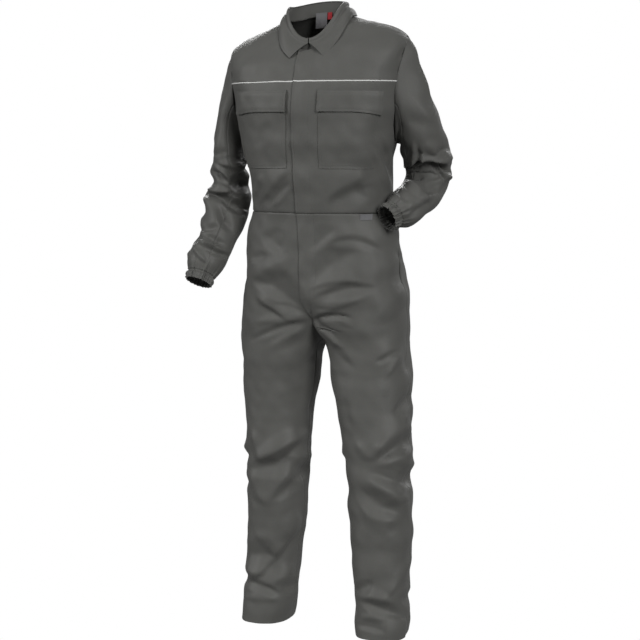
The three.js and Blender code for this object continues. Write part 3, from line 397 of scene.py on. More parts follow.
def edge_angle(t, back):
    """Angle of a panel's side edge, which stands back round the armhole."""
    share = np.clip((t - TIP) / (ARMPIT - TIP), 0, 1)
    most = math.radians(ARMHOLE_BACK if back else ARMHOLE_FRONT)
    return (1 if back else -1) * most * np.sin(math.pi * share).clip(0) ** ARMHOLE_ROUND


def front_angle(side, t, share):
    start = edge_angle(t, False)
    end = -math.pi / 2 if side < 0 else angle_at(torso_ring(t), FLY_RISE, False)
    return mix(start, end, share)


def piping_row(side, share):
    """The row at which the front reaches the height of the piping."""
    share = np.asarray(share, float)

    def is_above(t):
        ring = torso_ring(t)
        return mix(ring["zs"], ring["zf"], np.sin(front_angle(side, t, share)) ** 2) > PIPING_Z

    low, high = (np.full(share.shape, row) for row in PIPING_ROWS)
    return halve(low, high, 28, is_above)


PIPING_SIDE = float(piping_row(-1, 0.0))


def front_row(row, here):
    """Row position on the front where the piping lies at row here, so that the piping stays level."""
    above = row * here / PIPING_SIDE
    below = TORSO_END - (TORSO_END - row) / (TORSO_END - PIPING_SIDE) * (TORSO_END - here)
    return np.where(row <= PIPING_SIDE, above, below)


def front_grid(side, low, high, rows, cell=None):
    """Front of one side between two rows. The left one carries on as the fly lap."""
    shares = spread(FRONT_WIDE, True, side < 0, cell)
    row = mix(low, high, rows)[:, None]
    t = front_row(row, piping_row(side, shares)[None, :])
    p, n = torso_cloth(side, t, front_angle(side, t, shares[None, :]), side > 0)
    if side < 0:
        return p, n
    t = front_row(row, float(piping_row(side, 1.0)))
    lap = spread(FLY_RISE + FLY_LAP, False, True, cell)[1:]
    across = mix(FLY_RISE, -FLY_LAP, lap)[None, :]
    q, m = torso_cloth(side, t + 0 * across, angle_at(torso_ring(t), across, False), True)
    return np.concatenate([p, q], 1), np.concatenate([n, m], 1)


def back_grid(rows):
    shares = spread(BACK_WIDE) * 2
    side = np.where(shares <= 1, 1, -1)[None, :]
    t = mix(0.0, TORSO_END, rows)[:, None]
    start = edge_angle(t, True)
    angle = mix(start, math.pi / 2, np.where(shares <= 1, shares, 2 - shares)[None, :])
    return torso_cloth(side, t + 0 * angle, angle)


LEG_OUTER = np.radians([0, 18, 36, 54, 72])
LEG_INNER = 4
SLIT_FADE = 40


def leg_angles(side, is_back, z):
    """Angles of the stops round a leg, from its side to the middle, for each height in z."""
    ring = leg_ring(side, z)
    way = 1 if is_back else -1
    slit = ease(SLIT_TOP_Z, SLIT_TOP_Z - SLIT_FADE, z) * ease(SLIT_END_Z, SLIT_END_Z + SLIT_FADE, z)
    angles = [way * a + 0 * z for a in LEG_OUTER]
    if not is_back:
        angles[0] = -slit * SLIT_WIDE / ring["bf"]
    start = angles[-1]
    end = angle_at(ring, MIDDLE_GAP + 0 * z, is_back)
    if side < 0 or is_back:
        angles += [mix(start, end, k / LEG_INNER) for k in range(1, LEG_INNER + 1)]
        return np.stack(angles, -1)
    edge = fly_edge(z)
    first = (FLY_RISE + ring["cx"] + ring["a"] * ring_x(start)) / 2
    stops = [first, FLY_RISE + 0 * z, FLY_FLAT + 0 * z, edge / 2, edge]
    share = ease(FLY_END_Z, FLY_END_Z - FLY_EVEN, z)
    for k, across in enumerate(stops):
        even = mix(start, end, (k + 1) / len(stops))
        angles.append(mix(angle_at(ring, np.maximum(across, edge), False), even, share))
    return np.stack(angles, -1)


def leg_grid(side, is_back, rows):
    z = mix(WAIST_Z, HEM_Z, rows)
    coarse = leg_angles(side, is_back, z)
    stops = np.arange(coarse.shape[1])
    shares = spread(LEG_WIDE) * stops[-1]
    angle = np.stack([np.interp(shares, stops, line) for line in coarse])
    return leg_cell(side, z[:, None] + 0 * angle, angle, side > 0 and not is_back)


# Sleeves

FRAME_STEPS = 96
SLOPE_STEP = 0.05


def arm_middle(side, s):
    return np.stack([column(SLEEVE[side], "s", s, name) for name in "xyz"], -1)


def arm_frames(side):
    """Frames along an arm, carried on with the least turn: way down, outward and front."""
    out = np.array([side, 0.0, 0.0])
    rows = []
    for i in range(FRAME_STEPS + 1):
        s = SLEEVE_END * i / FRAME_STEPS
        after, before = min(SLEEVE_END, s + SLOPE_STEP), max(0, s - SLOPE_STEP)
        down = unit(arm_middle(side, after) - arm_middle(side, before))
        out = unit(out - down * dot(out, down))
        rows.append(np.stack([down, out, np.cross(down, out) * side]))
    return np.array(rows)


FRAMES = {side: arm_frames(side) for side in (-1, 1)}


def arm_frame(side, s):
    at = np.clip(np.asarray(s, float) / SLEEVE_END, 0, 1) * FRAME_STEPS
    low = np.minimum(at.astype(int), FRAME_STEPS - 1)
    share = (at - low)[..., None, None]
    both = mix(FRAMES[side][low], FRAMES[side][low + 1], share)
    return unit(both[..., 0, :]), unit(both[..., 1, :]), unit(both[..., 2, :])


def arm_point(side, s, angle):
    """Ring angle: 0 outward, 90 degrees to the front, 180 towards the body."""
    ra = column(SLEEVE[side], "s", s, "ra")
    front = column(SLEEVE[side], "s", s, "rf")
    rear = column(SLEEVE[side], "s", s, "rb")
    r2 = np.where(np.sin(angle) >= 0, front, rear)
    _, out, fore = arm_frame(side, s)
    across = (ra * np.cos(angle))[..., None] * out
    return arm_middle(side, s) + across + (r2 * np.sin(angle))[..., None] * fore


SIDE_ROWS = np.array(
    [mix(TIP, PIPING_SIDE, k / 4) for k in range(5)]
    + [mix(PIPING_SIDE, ARMPIT, k / 5) for k in range(1, 6)]
)
HALF_HOLE = len(SIDE_ROWS) - 1


def armhole(side, turn):
    """The armhole at shares of a full turn: shoulder tip, down the front, armpit, up the back."""
    at = turn * 2 * HALF_HOLE
    is_front = at <= HALF_HOLE
    row = np.interp(np.where(is_front, at, 2 * HALF_HOLE - at), np.arange(HALF_HOLE + 1), SIDE_ROWS)
    t = front_row(row, PIPING_SIDE)
    p, n = torso_cloth(side, t, edge_angle(t, False))
    q, m = torso_cloth(side, row, edge_angle(row, True))
    pick = is_front[..., None]
    return np.where(pick, p, q), np.where(pick, n, m)


# How a sleeve's cap leaves the armhole. droop: how steeply it falls. low: where round the hole it lies
# under the arm. lean: how much it follows the body above. leave, arrive: how far it runs straight on.
CAP = dict(droop=-0.75, low=(0.2, 0.95), lean=0.6, leave=0.22, arrive=0.4)


def sleeve_grid(side, turn, cap_rows, arm_rows):
    """Points of a sleeve at shares of a full turn round the arm, from the armhole to the cuff."""
    angle = 2 * math.pi * turn
    hole, n = armhole(side, turn % 1.0)
    out = unit(np.array([side, 0, CAP["droop"]]))[None, :]
    low = ease(*CAP["low"], (1 - np.cos(angle)) / 2)[:, None]
    out = unit(out - n * dot(out, n) * (1 - low) * CAP["lean"])
    end = arm_point(side, 0 * angle, angle)
    reach = np.sqrt(dot(end - hole, end - hole))
    down, _, _ = arm_frame(side, 0.0)
    c1, c2 = hole + out * CAP["leave"] * reach, end - down * CAP["arrive"] * reach
    q = cap_rows[:, None, None]
    cap = hole * (1 - q) ** 3 + c1 * 3 * (1 - q) ** 2 * q + c2 * 3 * (1 - q) * q**2 + end * q**3
    s = (arm_rows * SLEEVE_END)[:, None]
    arm = arm_point(side, s + 0 * angle[None, :], angle[None, :] + 0 * s)
    return np.concatenate([cap, arm])


def grid_normals(p, wrap=False, like=None):
    """Normals of a grid from its own neighbours."""
    down = np.empty_like(p)
    down[1:-1] = p[2:] - p[:-2]
    down[0], down[-1] = p[1] - p[0], p[-1] - p[-2]
    across = np.empty_like(p)
    if wrap:
        across = np.roll(p, -1, 1) - np.roll(p, 1, 1)
    else:
        across[:, 1:-1] = p[:, 2:] - p[:, :-2]
        across[:, 0], across[:, -1] = p[:, 1] - p[:, 0], p[:, -1] - p[:, -2]
    n = unit(np.cross(down, across))
    if like is None:
        like = p - p.mean(1, keepdims=True)
    return n if float(np.mean(dot(n, like))) > 0 else -n


# Places on the front for what lies on it


def front_at(side, across, z):
    """Point, normal, angle and row of the front at a height and a place across."""
    across, z = np.broadcast_arrays(np.asarray(across, float), np.asarray(z, float))

    def is_above(t):
        return torso_point(side, t, angle_at(torso_ring(t), across, False))[..., 2] > z

    row = halve(np.full(z.shape, 0.3), np.full(z.shape, float(TORSO_END)), 30, is_above)
    angle = angle_at(torso_ring(row), across, False)
    p, n = torso_cloth(side, row, angle)
    under = (z < WAIST_Z)[..., None]
    if under.any():
        q, m = leg_cloth(side, z, angle_at(leg_ring(side, z), across, False))
        p, n = np.where(under, q, p), np.where(under, m, n)
    return p, n, angle, row


def pocket_points(side, z, share, wider):
    """Points and normals of the front under a pocket, at heights and shares of the way across."""
    near = POCKET["near"] - wider
    level = (z - POCKET["top"]) / (POCKET["end"] - POCKET["top"])
    far = mix(POCKET["far_top"], POCKET["far_end"], level) + wider
    _, _, start, t = front_at(side, near, z[:, :1])
    _, _, end, _ = front_at(side, far[:, :1], z[:, :1])
    ring = torso_ring(t)
    across = ring["a"] * ring_x(mix(start, end, share))
    return front_at(side, across, z)[:2]


# Meshes

SHARP_DEGREES = 55
RIM_CELL = 0.004  # size of a rim's cells in the weave, in metres


def make_mesh(name, points, faces, uv=None):
    mesh = bpy.data.meshes.new(name)
    mesh.from_pydata((np.asarray(points) * MM).tolist(), [], np.asarray(faces).tolist())
    if uv is not None:
        layer = mesh.uv_layers.new(name="cloth")
        layer.data.foreach_set("uv", np.asarray(uv, np.float32).ravel())
    mesh.validate()
    mesh.shade_smooth()
    mesh.set_sharp_from_angle(angle=math.radians(SHARP_DEGREES))
    piece = bpy.data.objects.new(name, mesh)
    bpy.context.scene.collection.objects.link(piece)
    return piece


def lengths(p, axis, wrap=False):
    """Running length of a grid along one axis."""
    if wrap:
        p = np.concatenate([p, p[:, :1]], 1)
    step = np.sqrt(np.sum(np.diff(p, axis=axis) ** 2, -1))
    zero = np.zeros_like(step[:1]) if axis == 0 else np.zeros_like(step[:, :1])
    return np.concatenate([zero, np.cumsum(step, axis)], axis)


def shell(name, p, n, thick=CLOTH_THICK, wrap=False):
    """A closed thin shell of cloth from a grid of outer points and normals."""
    rows, cols = p.shape[:2]
    points = np.concatenate([p.reshape(-1, 3), (p - n * thick).reshape(-1, 3)])
    i, j = np.meshgrid(np.arange(rows - 1), np.arange(cols if wrap else cols - 1), indexing="ij")
    i, j = i.ravel(), j.ravel()
    corners = [(i, j), (i + 1, j), (i + 1, j + 1), (i, j + 1)]
    outer = np.stack([a * cols + b % cols for a, b in corners], 1)
    inner = outer[:, ::-1] + rows * cols
    u = lengths(p, 1, wrap).mean(0) * MM
    v = lengths(p, 0).mean(1) * MM
    uv = np.stack([np.stack([u[b], v[a]], 1) for a, b in corners], 1)
    faces, coords = [outer, inner], [uv, uv[:, ::-1]]

    def rim(line_a, line_b):
        count = len(line_a) - 1
        k = np.arange(count)
        quad = np.stack([line_a[k], line_a[k + 1], line_b[k + 1], line_b[k]], 1)
        faces.append(quad)
        coords.append(np.repeat((k * RIM_CELL)[:, None, None], 4, 1) * np.ones((1, 1, 2)))

    index = np.arange(rows * cols).reshape(rows, cols)
    under = index + rows * cols
    if wrap:
        index = np.concatenate([index, index[:, :1]], 1)
        under = np.concatenate([under, under[:, :1]], 1)
    rim(index[0], under[0])
    rim(under[-1], index[-1])
    if not wrap:
        rim(under[:, 0], index[:, 0])
        rim(index[:, -1], under[:, -1])
    faces, coords = np.concatenate(faces), np.concatenate(coords)
    a, b, c = points[faces[0, 0]], points[faces[0, 1]], points[faces[0, 2]]
    if np.dot(np.cross(b - a, c - a), n[0, 0]) < 0:
        faces, coords = faces[:, ::-1], coords[:, ::-1]
    return make_mesh(name, points, faces, coords)


# Creases

CAMERA = dict(azimuth=18.0, elevation=7.0, distance=4000.0, aside=7.6, height=-758.0, focal_px=1575.0)
PHOTO_PX = 640.0
RIGHT = np.array([math.cos(math.radians(CAMERA["azimuth"])), math.sin(math.radians(CAMERA["azimuth"])), 0])
TOWARD = direction(CAMERA["azimuth"], CAMERA["elevation"])
TARGET = RIGHT * CAMERA["aside"] + np.array([0, 0, CAMERA["height"]])

# Creases that the photo shows. x0, y0 to x1, y1: where one runs, in pixels of its frame.
# bow: how far its middle stands off to the right of that way, in pixels. left, right: how wide its
# two flanks are, deep: how high it stands, minus for a trough, in millimetres.
PHOTO_NAMES = "x0 y0 x1 y1 bow left right deep"
YOKE_CREASES = [
    (234, 69, 292, 64, -2, 34, 26, 3.0),
    (283, 26, 290, 58, 0, 14, 18, -2.0),
    (296, 62, 309, 74, 0, 16, 14, 1.4),
    (343, 46, 380, 37, 0, 30, 24, 3.0),
    (350, 68, 392, 74, 0, 26, 20, -2.0),
    (397, 57, 411, 45, 0, 5, 8, -4.5),
]
CHEST_CREASES = [
    (261, 202, 289, 169, -1, 30, 11, 5.0),
    (270, 204, 289, 182, 0, 8, 14, -3.0),
    (275, 206, 291, 186, 0, 9, 10, 3.0),
    (253, 198, 263, 174, 0, 12, 9, 2.8),
    (269, 122, 258, 147, 0, 18, 18, -2.6),
    (243, 95, 242, 115, 0, 9, 9, 1.6),
    (283, 100, 291, 168, 0, 14, 12, -2.4),
    (324, 199, 366, 176, -2, 44, 15, 3.6),
    (330, 205, 372, 187, -2, 17, 34, -4.2),
    (371, 148, 390, 193, -2, 14, 14, 4.6),
    (381, 138, 394, 190, -2, 9, 12, -4.0),
    (389, 150, 395, 180, 0, 8, 8, 2.4),
    (358, 170, 371, 196, 2, 14, 20, 2.6),
    (363, 112, 364, 170, 0, 30, 44, 3.0),
    (300, 172, 322, 196, 0, 30, 24, 1.6),
]
HIP_CREASES = [
    (264, 234, 282, 251, 0, 36, 17, -5.4),
    (251, 282, 291, 258, -2, 24, 30, 4.0),
    (252, 259, 267, 255, 0, 15, 15, -3.2),
    (254, 279, 303, 311, -3, 46, 21, -8.5),
    (257, 297, 285, 316, 0, 22, 9, 4.0),
    (259, 304, 286, 321, 0, 8, 15, -2.6),
    (275, 303, 304, 313, 0, 8, 11, -3.0),
    (258, 322, 303, 318, -1, 18, 13, 3.2),
    (254, 339, 306, 322, -2, 12, 9, -4.4),
    (270, 347, 305, 327, -1, 9, 22, 4.6),
    (310, 250, 335, 229, -1, 30, 18, -4.8),
    (331, 243, 378, 249, -5, 13, 17, -4.6),
    (312, 284, 359, 251, -5, 42, 44, -8.5),
    (311, 288, 358, 282, -4, 36, 10, 4.4),
    (317, 298, 372, 288, -3, 15, 22, -6.6),
    (317, 314, 362, 299, -1, 26, 9, 3.8),
    (316, 309, 332, 309, 0, 5, 5, -2.0),
    (313, 320, 351, 318, -3, 8, 11, -5.4),
    (337, 317, 352, 327, 0, 7, 9, 2.6),
    (314, 319, 335, 335, 0, 7, 6, -3.8),
    (315, 322, 342, 347, 1, 7, 20, 5.4),
    (317, 337, 351, 367, 1, 18, 32, -5.2),
    (374, 321, 405, 288, -1, 44, 32, 4.6),
    (376, 363, 398, 350, 0, 9, 11, -4.0),
    (387, 376, 399, 353, 0, 9, 9, 3.2),
    (338, 342, 388, 362, 3, 44, 44, -3.4),
    (396, 250, 405, 262, 0, 9, 9, -2.0),
]
RIGHT_KNEE_CREASES = [
    (257, 459, 304, 432, 2, 32, 25, 9.0),
    (253, 430, 261, 461, 0, 17, 15, 4.6),
    (250, 469, 301, 440, 9, 28, 34, -9.5),
    (301, 454, 270, 501, 1, 24, 28, 5.2),
    (251, 471, 268, 504, 2, 22, 20, 4.2),
    (272, 500, 302, 487, -3, 20, 16, -4.2),
    (297, 511, 288, 538, 0, 18, 26, 3.6),
    (258, 402, 288, 392, 0, 40, 36, 1.8),
]
RIGHT_SHIN_CREASES = [
    (243, 554, 277, 557, 0, 42, 38, -9.5),
    (257, 533, 277, 557, 0, 32, 17, 3.4),
    (244, 571, 263, 574, 0, 34, 15, 5.0),
    (255, 580, 303, 529, 4.5, 15, 34, -7.5),
    (293, 563, 277, 594, 0, 17, 24, 4.0),
    (241, 580, 279, 594, -1, 13, 17, -7.0),
    (244, 597, 279, 599, 0, 15, 11, 2.4),
]
LEFT_KNEE_CREASES = [
    (358, 443, 370, 460, 0, 12, 18, 3.0),
    (370, 460, 381, 443, 0, 12, 18, 3.0),
    (377, 456, 414, 423, -6, 44, 26, 6.5),
    (379, 460, 415, 435, 0, 24, 22, -7.5),
    (378, 464, 415, 448, 2, 22, 20, 4.6),
    (369, 473, 415, 482, 2.5, 26, 22, -6.8),
    (372, 479, 403, 501, 1, 24, 32, 7.5),
    (402, 501, 415, 483, 0, 22, 14, 3.6),
    (359, 487, 401, 513, 6, 32, 28, -7.5),
    (361, 506, 399, 522, 5, 24, 34, 3.6),
    (391, 412, 411, 372, 2, 26, 13, 3.4),
    (395, 413, 413, 393, 0, 12, 11, -3.4),
    (402, 422, 413, 404, 0, 9, 8, 2.8),
    (344, 398, 350, 430, 0, 16, 16, -2.0),
]
LEFT_SHIN_CREASES = [
    (351, 591, 373, 583, 1, 18, 18, -6.0),
    (363, 598, 391, 602, -3, 18, 20, 4.6),
    (360, 601, 404, 617, 1, 22, 17, -7.0),
    (357, 625, 385, 632, 0, 24, 9, -4.6),
    (361, 617, 385, 619, 0, 12, 15, 2.4),
    (387, 596, 412, 556, 1, 16, 13, 2.8),
    (376, 546, 396, 534, 0, 26, 26, 1.8),
]
RIGHT_SLEEVE_CREASES = [
    (211, 155, 228, 151, 0, 8, 10, -3.0),
    (218, 163, 248, 171, -1, 16, 10, 6.5),
    (211, 170, 229, 183, 0, 9, 10, -8.0),
    (212, 164, 229, 192, -5, 10, 14, 7.0),
    (229, 184, 256, 181, 0, 24, 24, -14.0),
    (205, 189, 230, 192, 0, 12, 9, 6.0),
    (206, 193, 250, 210, -2, 10, 14, -11.0),
    (222, 199, 245, 215, 0, 10, 13, -9.0),
    (205, 196, 218, 229, -2, 20, 28, 8.0),
    (218, 205, 232, 232, 0, 14, 18, -7.0),
    (196, 228, 218, 227, 1, 12, 9, -6.0),
    (198, 240, 226, 253, 0, 9, 12, 7.5),
    (202, 233, 226, 245, 0, 10, 10, -6.0),
    (190, 243, 203, 234, 0, 9, 9, -5.5),
    (204, 246, 229, 256, 0, 9, 13, -8.0),
    (194, 248, 206, 262, 0, 9, 9, 4.5),
    (222, 116, 236, 146, 0, 30, 30, -2.6),
]
LEFT_SLEEVE_CREASES = [
    (407, 91, 432, 122, 0, 34, 28, 4.4),
    (406, 121, 428, 122, 0, 22, 16, -2.4),
    (412, 169, 414, 144, 0, 8, 9, 5.5),
    (417, 171, 419, 148, 0, 7, 7, -5.5),
    (422, 166, 423, 146, 0, 7, 7, 2.8),
    (419, 154, 438, 158, 0, 10, 10, -6.0),
    (436, 158, 448, 148, 0, 10, 9, -6.0),
    (424, 149, 446, 143, 0, 12, 9, 2.6),
    (405, 167, 455, 170, -9, 18, 5, 6.0),
    (405, 171, 455, 174, -9, 5, 16, -12.0),
    (431, 164, 447, 183, -2, 6, 6, -5.0),
    (436, 163, 452, 182, -2, 7, 7, 5.0),
    (404, 181, 430, 202, -2, 18, 15, 7.5),
    (405, 178, 424, 176, 0, 9, 9, -6.0),
    (394, 188, 408, 202, 0, 11, 10, -3.2),
    (409, 217, 433, 198, 0, 13, 15, -7.0),
    (398, 212, 414, 203, 0, 12, 10, 2.6),
]
BODY_CREASES = table(
    PHOTO_NAMES,
    YOKE_CREASES + CHEST_CREASES + HIP_CREASES + RIGHT_KNEE_CREASES + RIGHT_SHIN_CREASES
    + LEFT_KNEE_CREASES + LEFT_SHIN_CREASES,
)
ARM_CREASES = table(PHOTO_NAMES, RIGHT_SLEEVE_CREASES + LEFT_SLEEVE_CREASES)

# Creases of the sides that the photo hides, seen level from a turn round the suit: across and in
# height, in millimetres. turn: 90 looks at its left side, 180 at its back, 270 at its right side.
HIDDEN_NAMES = "turn x0 z0 x1 z1 bow left right deep"
HIDDEN_BODY = table(HIDDEN_NAMES, [
    (180, 62, -1104, 215, -1132, 10, 30, 26, -8.5),
    (180, 78, -1078, 205, -1092, 8, 34, 26, 6.0),
    (180, 80, -1164, 210, -1146, -8, 26, 30, -6.5),
    (180, 96, -1196, 196, -1180, -6, 26, 30, 4.5),
    (180, 150, -1040, 214, -1090, 0, 26, 22, -4.0),
    (180, 70, -1010, 130, -1060, 0, 26, 26, 3.4),
    (180, -225, -1142, -82, -1112, 9, 28, 28, -8.5),
    (180, -218, -1118, -90, -1088, 8, 30, 24, 6.0),
    (180, -212, -1166, -96, -1186, -6, 26, 30, -6.5),
    (180, -200, -1196, -110, -1212, -5, 26, 28, 4.0),
    (180, -206, -1060, -150, -1006, 0, 24, 24, -3.6),
    (180, 6, -792, 128, -752, 10, 24, 30, -7.0),
    (180, 10, -770, 110, -728, 8, 26, 22, 4.4),
    (180, -124, -746, -12, -790, 12, 28, 24, -7.0),
    (180, -106, -722, -16, -764, 8, 24, 24, 4.4),
    (180, 24, -862, 168, -834, 8, 32, 30, -5.6),
    (180, -172, -826, -30, -858, 10, 32, 30, -5.6),
    (180, 40, -900, 150, -884, 6, 34, 34, 3.6),
    (180, -150, -878, -44, -902, 6, 34, 34, 3.6),
    (180, 84, -1452, 220, -1430, 9, 26, 22, -7.5),
    (180, 96, -1478, 214, -1462, 7, 18, 20, 4.4),
    (180, 120, -1400, 216, -1420, 0, 26, 22, 4.0),
    (180, -226, -1422, -104, -1450, 8, 26, 22, -7.5),
    (180, -220, -1450, -112, -1476, 7, 18, 20, 4.4),
    (180, -210, -1396, -120, -1410, 0, 26, 22, 4.0),
    (180, -30, -560, -150, -520, -4, 30, 26, -4.0),
    (180, 40, -530, 160, -566, 4, 30, 26, -4.0),
    (180, -150, -452, -30, -420, 8, 24, 20, -4.6),
    (180, -140, -430, -30, -400, 6, 26, 18, 4.0),
    (180, 24, -418, 140, -454, 8, 24, 20, -4.6),
    (180, 20, -396, 130, -430, 6, 26, 18, 4.0),
    (180, -160, -330, -120, -200, -10, 26, 22, -4.4),
    (180, 118, -206, 160, -326, -10, 22, 26, -4.4),
    (180, -70, -150, 70, -146, 8, 30, 26, 3.0),
    (180, -8, -260, 4, -380, 4, 30, 30, -2.4),
    (90, -78, -1120, 60, -1152, 8, 28, 28, -6.0),
    (90, -70, -1092, 66, -1120, 8, 28, 22, 5.0),
    (90, -60, -1180, 50, -1160, -6, 24, 28, -5.0),
    (90, -72, -1440, 40, -1462, 6, 22, 20, -5.5),
    (90, -40, -860, 84, -820, 6, 34, 32, -4.0),
    (90, -60, -640, 90, -600, 8, 34, 28, -3.6),
    (90, 10, -960, 60, -1040, 0, 26, 26, -3.0),
    (270, -66, -1146, 62, -1102, 8, 28, 28, -6.0),
    (270, -60, -1116, 60, -1076, 8, 28, 22, 5.0),
    (270, -56, -1192, 58, -1178, -6, 24, 28, -5.0),
    (270, -60, -1452, 54, -1420, 6, 22, 20, -5.5),
    (270, -84, -820, 60, -858, 6, 34, 32, -4.0),
    (270, -90, -600, 70, -650, 8, 34, 28, -3.6),
])
HIDDEN_ARM = table(HIDDEN_NAMES, [
    (180, 205, -352, 292, -330, 6, 18, 22, -6.0),
    (180, 214, -330, 286, -306, 6, 20, 16, 4.0),
    (180, 200, -440, 296, -408, 6, 20, 22, -7.0),
    (180, 206, -414, 290, -386, 6, 18, 16, 4.6),
    (180, 212, -494, 300, -470, 5, 18, 20, -6.0),
    (180, 226, -526, 304, -508, 5, 16, 18, 3.6),
    (180, 210, -240, 250, -300, 0, 26, 26, -3.0),
    (180, -318, -330, -228, -352, 6, 18, 18, -6.0),
    (180, -312, -300, -232, -322, 6, 18, 16, 4.0),
    (180, -300, -220, -240, -276, 0, 26, 24, -3.4),
    (90, -30, -398, 104, -372, -8, 16, 20, -9.0),
    (90, -20, -372, 100, -348, -8, 20, 14, 5.0),
    (90, -40, -440, 40, -408, 0, 16, 18, -5.5),
    (90, 20, -440, 92, -400, 0, 18, 18, -4.6),
    (90, -60, -462, 10, -434, 0, 14, 14, 3.6),
    (90, -20, -300, 84, -322, 6, 22, 20, -4.6),
    (90, -30, -200, 40, -250, 0, 30, 28, -3.0),
    (270, -62, -388, 60, -412, 6, 20, 20, -6.0),
    (270, -60, -362, 56, -386, 6, 20, 16, 4.4),
    (270, -56, -452, 66, -486, 6, 20, 22, -7.0),
    (270, -50, -426, 64, -458, 6, 18, 16, 4.4),
    (270, -40, -500, 84, -532, 4, 18, 20, -5.0),
    (270, 10, -560, 112, -540, -6, 18, 18, -5.5),
    (270, 40, -600, 120, -590, -4, 14, 14, 3.4),
    (270, -50, -300, 50, -320, 6, 26, 24, -3.6),
])
HEM_PATCH = dict(x=(386.0, 404.5), y=(618.0, 650.0), soft=0.7, rise=2.6)  # in the photo's pixels
CREST = 0.14  # how round the top of a crease is, as a share of its flank
FOOT = 0.02  # how softly its flanks end
FOOT_DROP = 0.03
FLANK_END = 1.25
END_WIDTH = 0.55  # width at the ends, as a share of that in the middle
RISE, FALL = (-0.12, 0.28), (0.72, 1.12)  # shares of its way over which it rises and falls
LEAST_BOW = -0.6
MARGIN = dict(along=0.2, across=1.3)  # how far past its own measures a crease reaches
DEEPEN = 1.45  # the tables' heights are multiplied by this


def crease_sum(rows, x, y, scale):
    """Height of a table's creases at places of its picture; scale is millimetres to its unit."""
    total = np.zeros(x.shape)
    for k in range(len(rows["x0"])):
        c = {name: rows[name][k] for name in rows}
        dx, dy = c["x1"] - c["x0"], c["y1"] - c["y0"]
        long = math.hypot(dx, dy)
        along = ((x - c["x0"]) * dx + (y - c["y0"]) * dy) / long**2
        off = ((y - c["y0"]) * dx - (x - c["x0"]) * dy) / long
        off = (off - c["bow"] * np.clip(4 * along * (1 - along), LEAST_BOW, 1)) * scale
        near = (along > -MARGIN["along"]) & (along < 1 + MARGIN["along"])
        near &= (off > -MARGIN["across"] * c["left"]) & (off < MARGIN["across"] * c["right"])
        if not near.any():
            continue
        along, off = along[near], off[near]
        width = np.where(off < 0, c["left"], c["right"])
        width = width * mix(END_WIDTH, 1.0, np.sin(math.pi * along.clip(0, 1)))
        t = np.sqrt((off / width) ** 2 + CREST**2) - CREST
        flank = (1 - t + np.sqrt((1 - t) ** 2 + FOOT)) / 2
        ends = ease(*RISE, along) * (1 - ease(*FALL, along))
        total[near] += DEEPEN * c["deep"] * ends * np.where(t < FLANK_END, flank - FOOT_DROP, 0).clip(0)
    return total


def photo_place(p):
    """Where points show in the photo's frame, in pixels, and the millimetres to a pixel there."""
    q = p - TARGET
    scale = (CAMERA["distance"] - q @ TOWARD) / CAMERA["focal_px"]
    up = np.cross(TOWARD, RIGHT)
    return PHOTO_PX / 2 + q @ RIGHT / scale, PHOTO_PX / 2 - q @ up / scale, scale


SEED = 7
random = np.random.default_rng(SEED)
WAVES = [
    (length, height, random.normal(size=3), random.uniform(0, 2 * math.pi))
    for length, height, count in ((170, 1.0, 5), (75, 0.5, 7), (34, 0.16, 8))
    for _ in range(count)
]
SHOWN_FACING = (-0.15, 0.3)  # how far cloth has to face a view to take the creases seen from there
HIDDEN_FACING = (0.25, 0.65)


def uneven(p):
    """The slight unevenness that all worn cloth has."""
    total = np.zeros(p.shape[:-1])
    for length, height, way, phase in WAVES:
        way = way / np.linalg.norm(way)
        total += height * np.sin(p @ way * 2 * math.pi / length + phase)
    return total


def level_view(p, n, turn):
    """Places across and in height as seen level from a turn, and how far the cloth faces there."""
    across = p @ np.array([math.cos(math.radians(turn)), math.sin(math.radians(turn)), 0])
    return across, p[..., 2], n @ direction(turn, 0)


def patch_height(x, y):
    """The doubled patch at the left hem, as a step up inside its four edges."""
    height, soft = HEM_PATCH["rise"], HEM_PATCH["soft"]
    for value, (low, high) in ((x, HEM_PATCH["x"]), (y, HEM_PATCH["y"])):
        height = height * ease(low - soft, low, value) * (1 - ease(high, high + soft, value))
    return height


def crease_height(p, n, arm=False):
    shown, hidden = (ARM_CREASES, HIDDEN_ARM) if arm else (BODY_CREASES, HIDDEN_BODY)
    x, y, scale = photo_place(p)
    _, _, facing = level_view(p, n, CAMERA["azimuth"])
    total = (crease_sum(shown, x, y, scale) + patch_height(x, y)) * ease(*SHOWN_FACING, facing)
    for turn in np.unique(hidden["turn"]):
        of_turn = hidden["turn"] == turn
        rows = {name: hidden[name][of_turn] for name in hidden}
        rows["y0"], rows["y1"] = -rows.pop("z0"), -rows.pop("z1")
        across, z, facing = level_view(p, n, turn)
        total = total + crease_sum(rows, across, -z, 1.0) * ease(*HIDDEN_FACING, facing)
    return total + uneven(p)


def crumple(p, n, wrap=False, arm=False, share=1.0):
    """Creased points and their normals from smooth ones. share: how much of the creases to take."""
    q = p + n * (crease_height(p, n, arm) * share)[..., None]
    return q, grid_normals(q, wrap, n)


# Seams

GROOVE_WIDE = 1.8
BAND = dict(rise=0.55, start=2.5, edge=1.5)  # a seam's doubled cloth
PUCKER = dict(high=0.22, long=11.0, wide=3.0)  # its small waves along the edge
SEWN_IN = dict(deep=0.35, wide=1.1, inside=2.0)  # the line of stitching on it


def edge_distance(p):
    """Distances of each point from the four edges of its grid: top, bottom, start, end."""
    down, across = lengths(p, 0), lengths(p, 1)
    return dict(top=down, bottom=down[-1:] - down, start=across, end=across[:, -1:] - across)


def free_distance(p):
    """Distance of each point from the nearest edge of its grid but the top one."""
    far = edge_distance(p)
    return np.minimum(np.minimum(far["start"], far["end"]), far["bottom"])


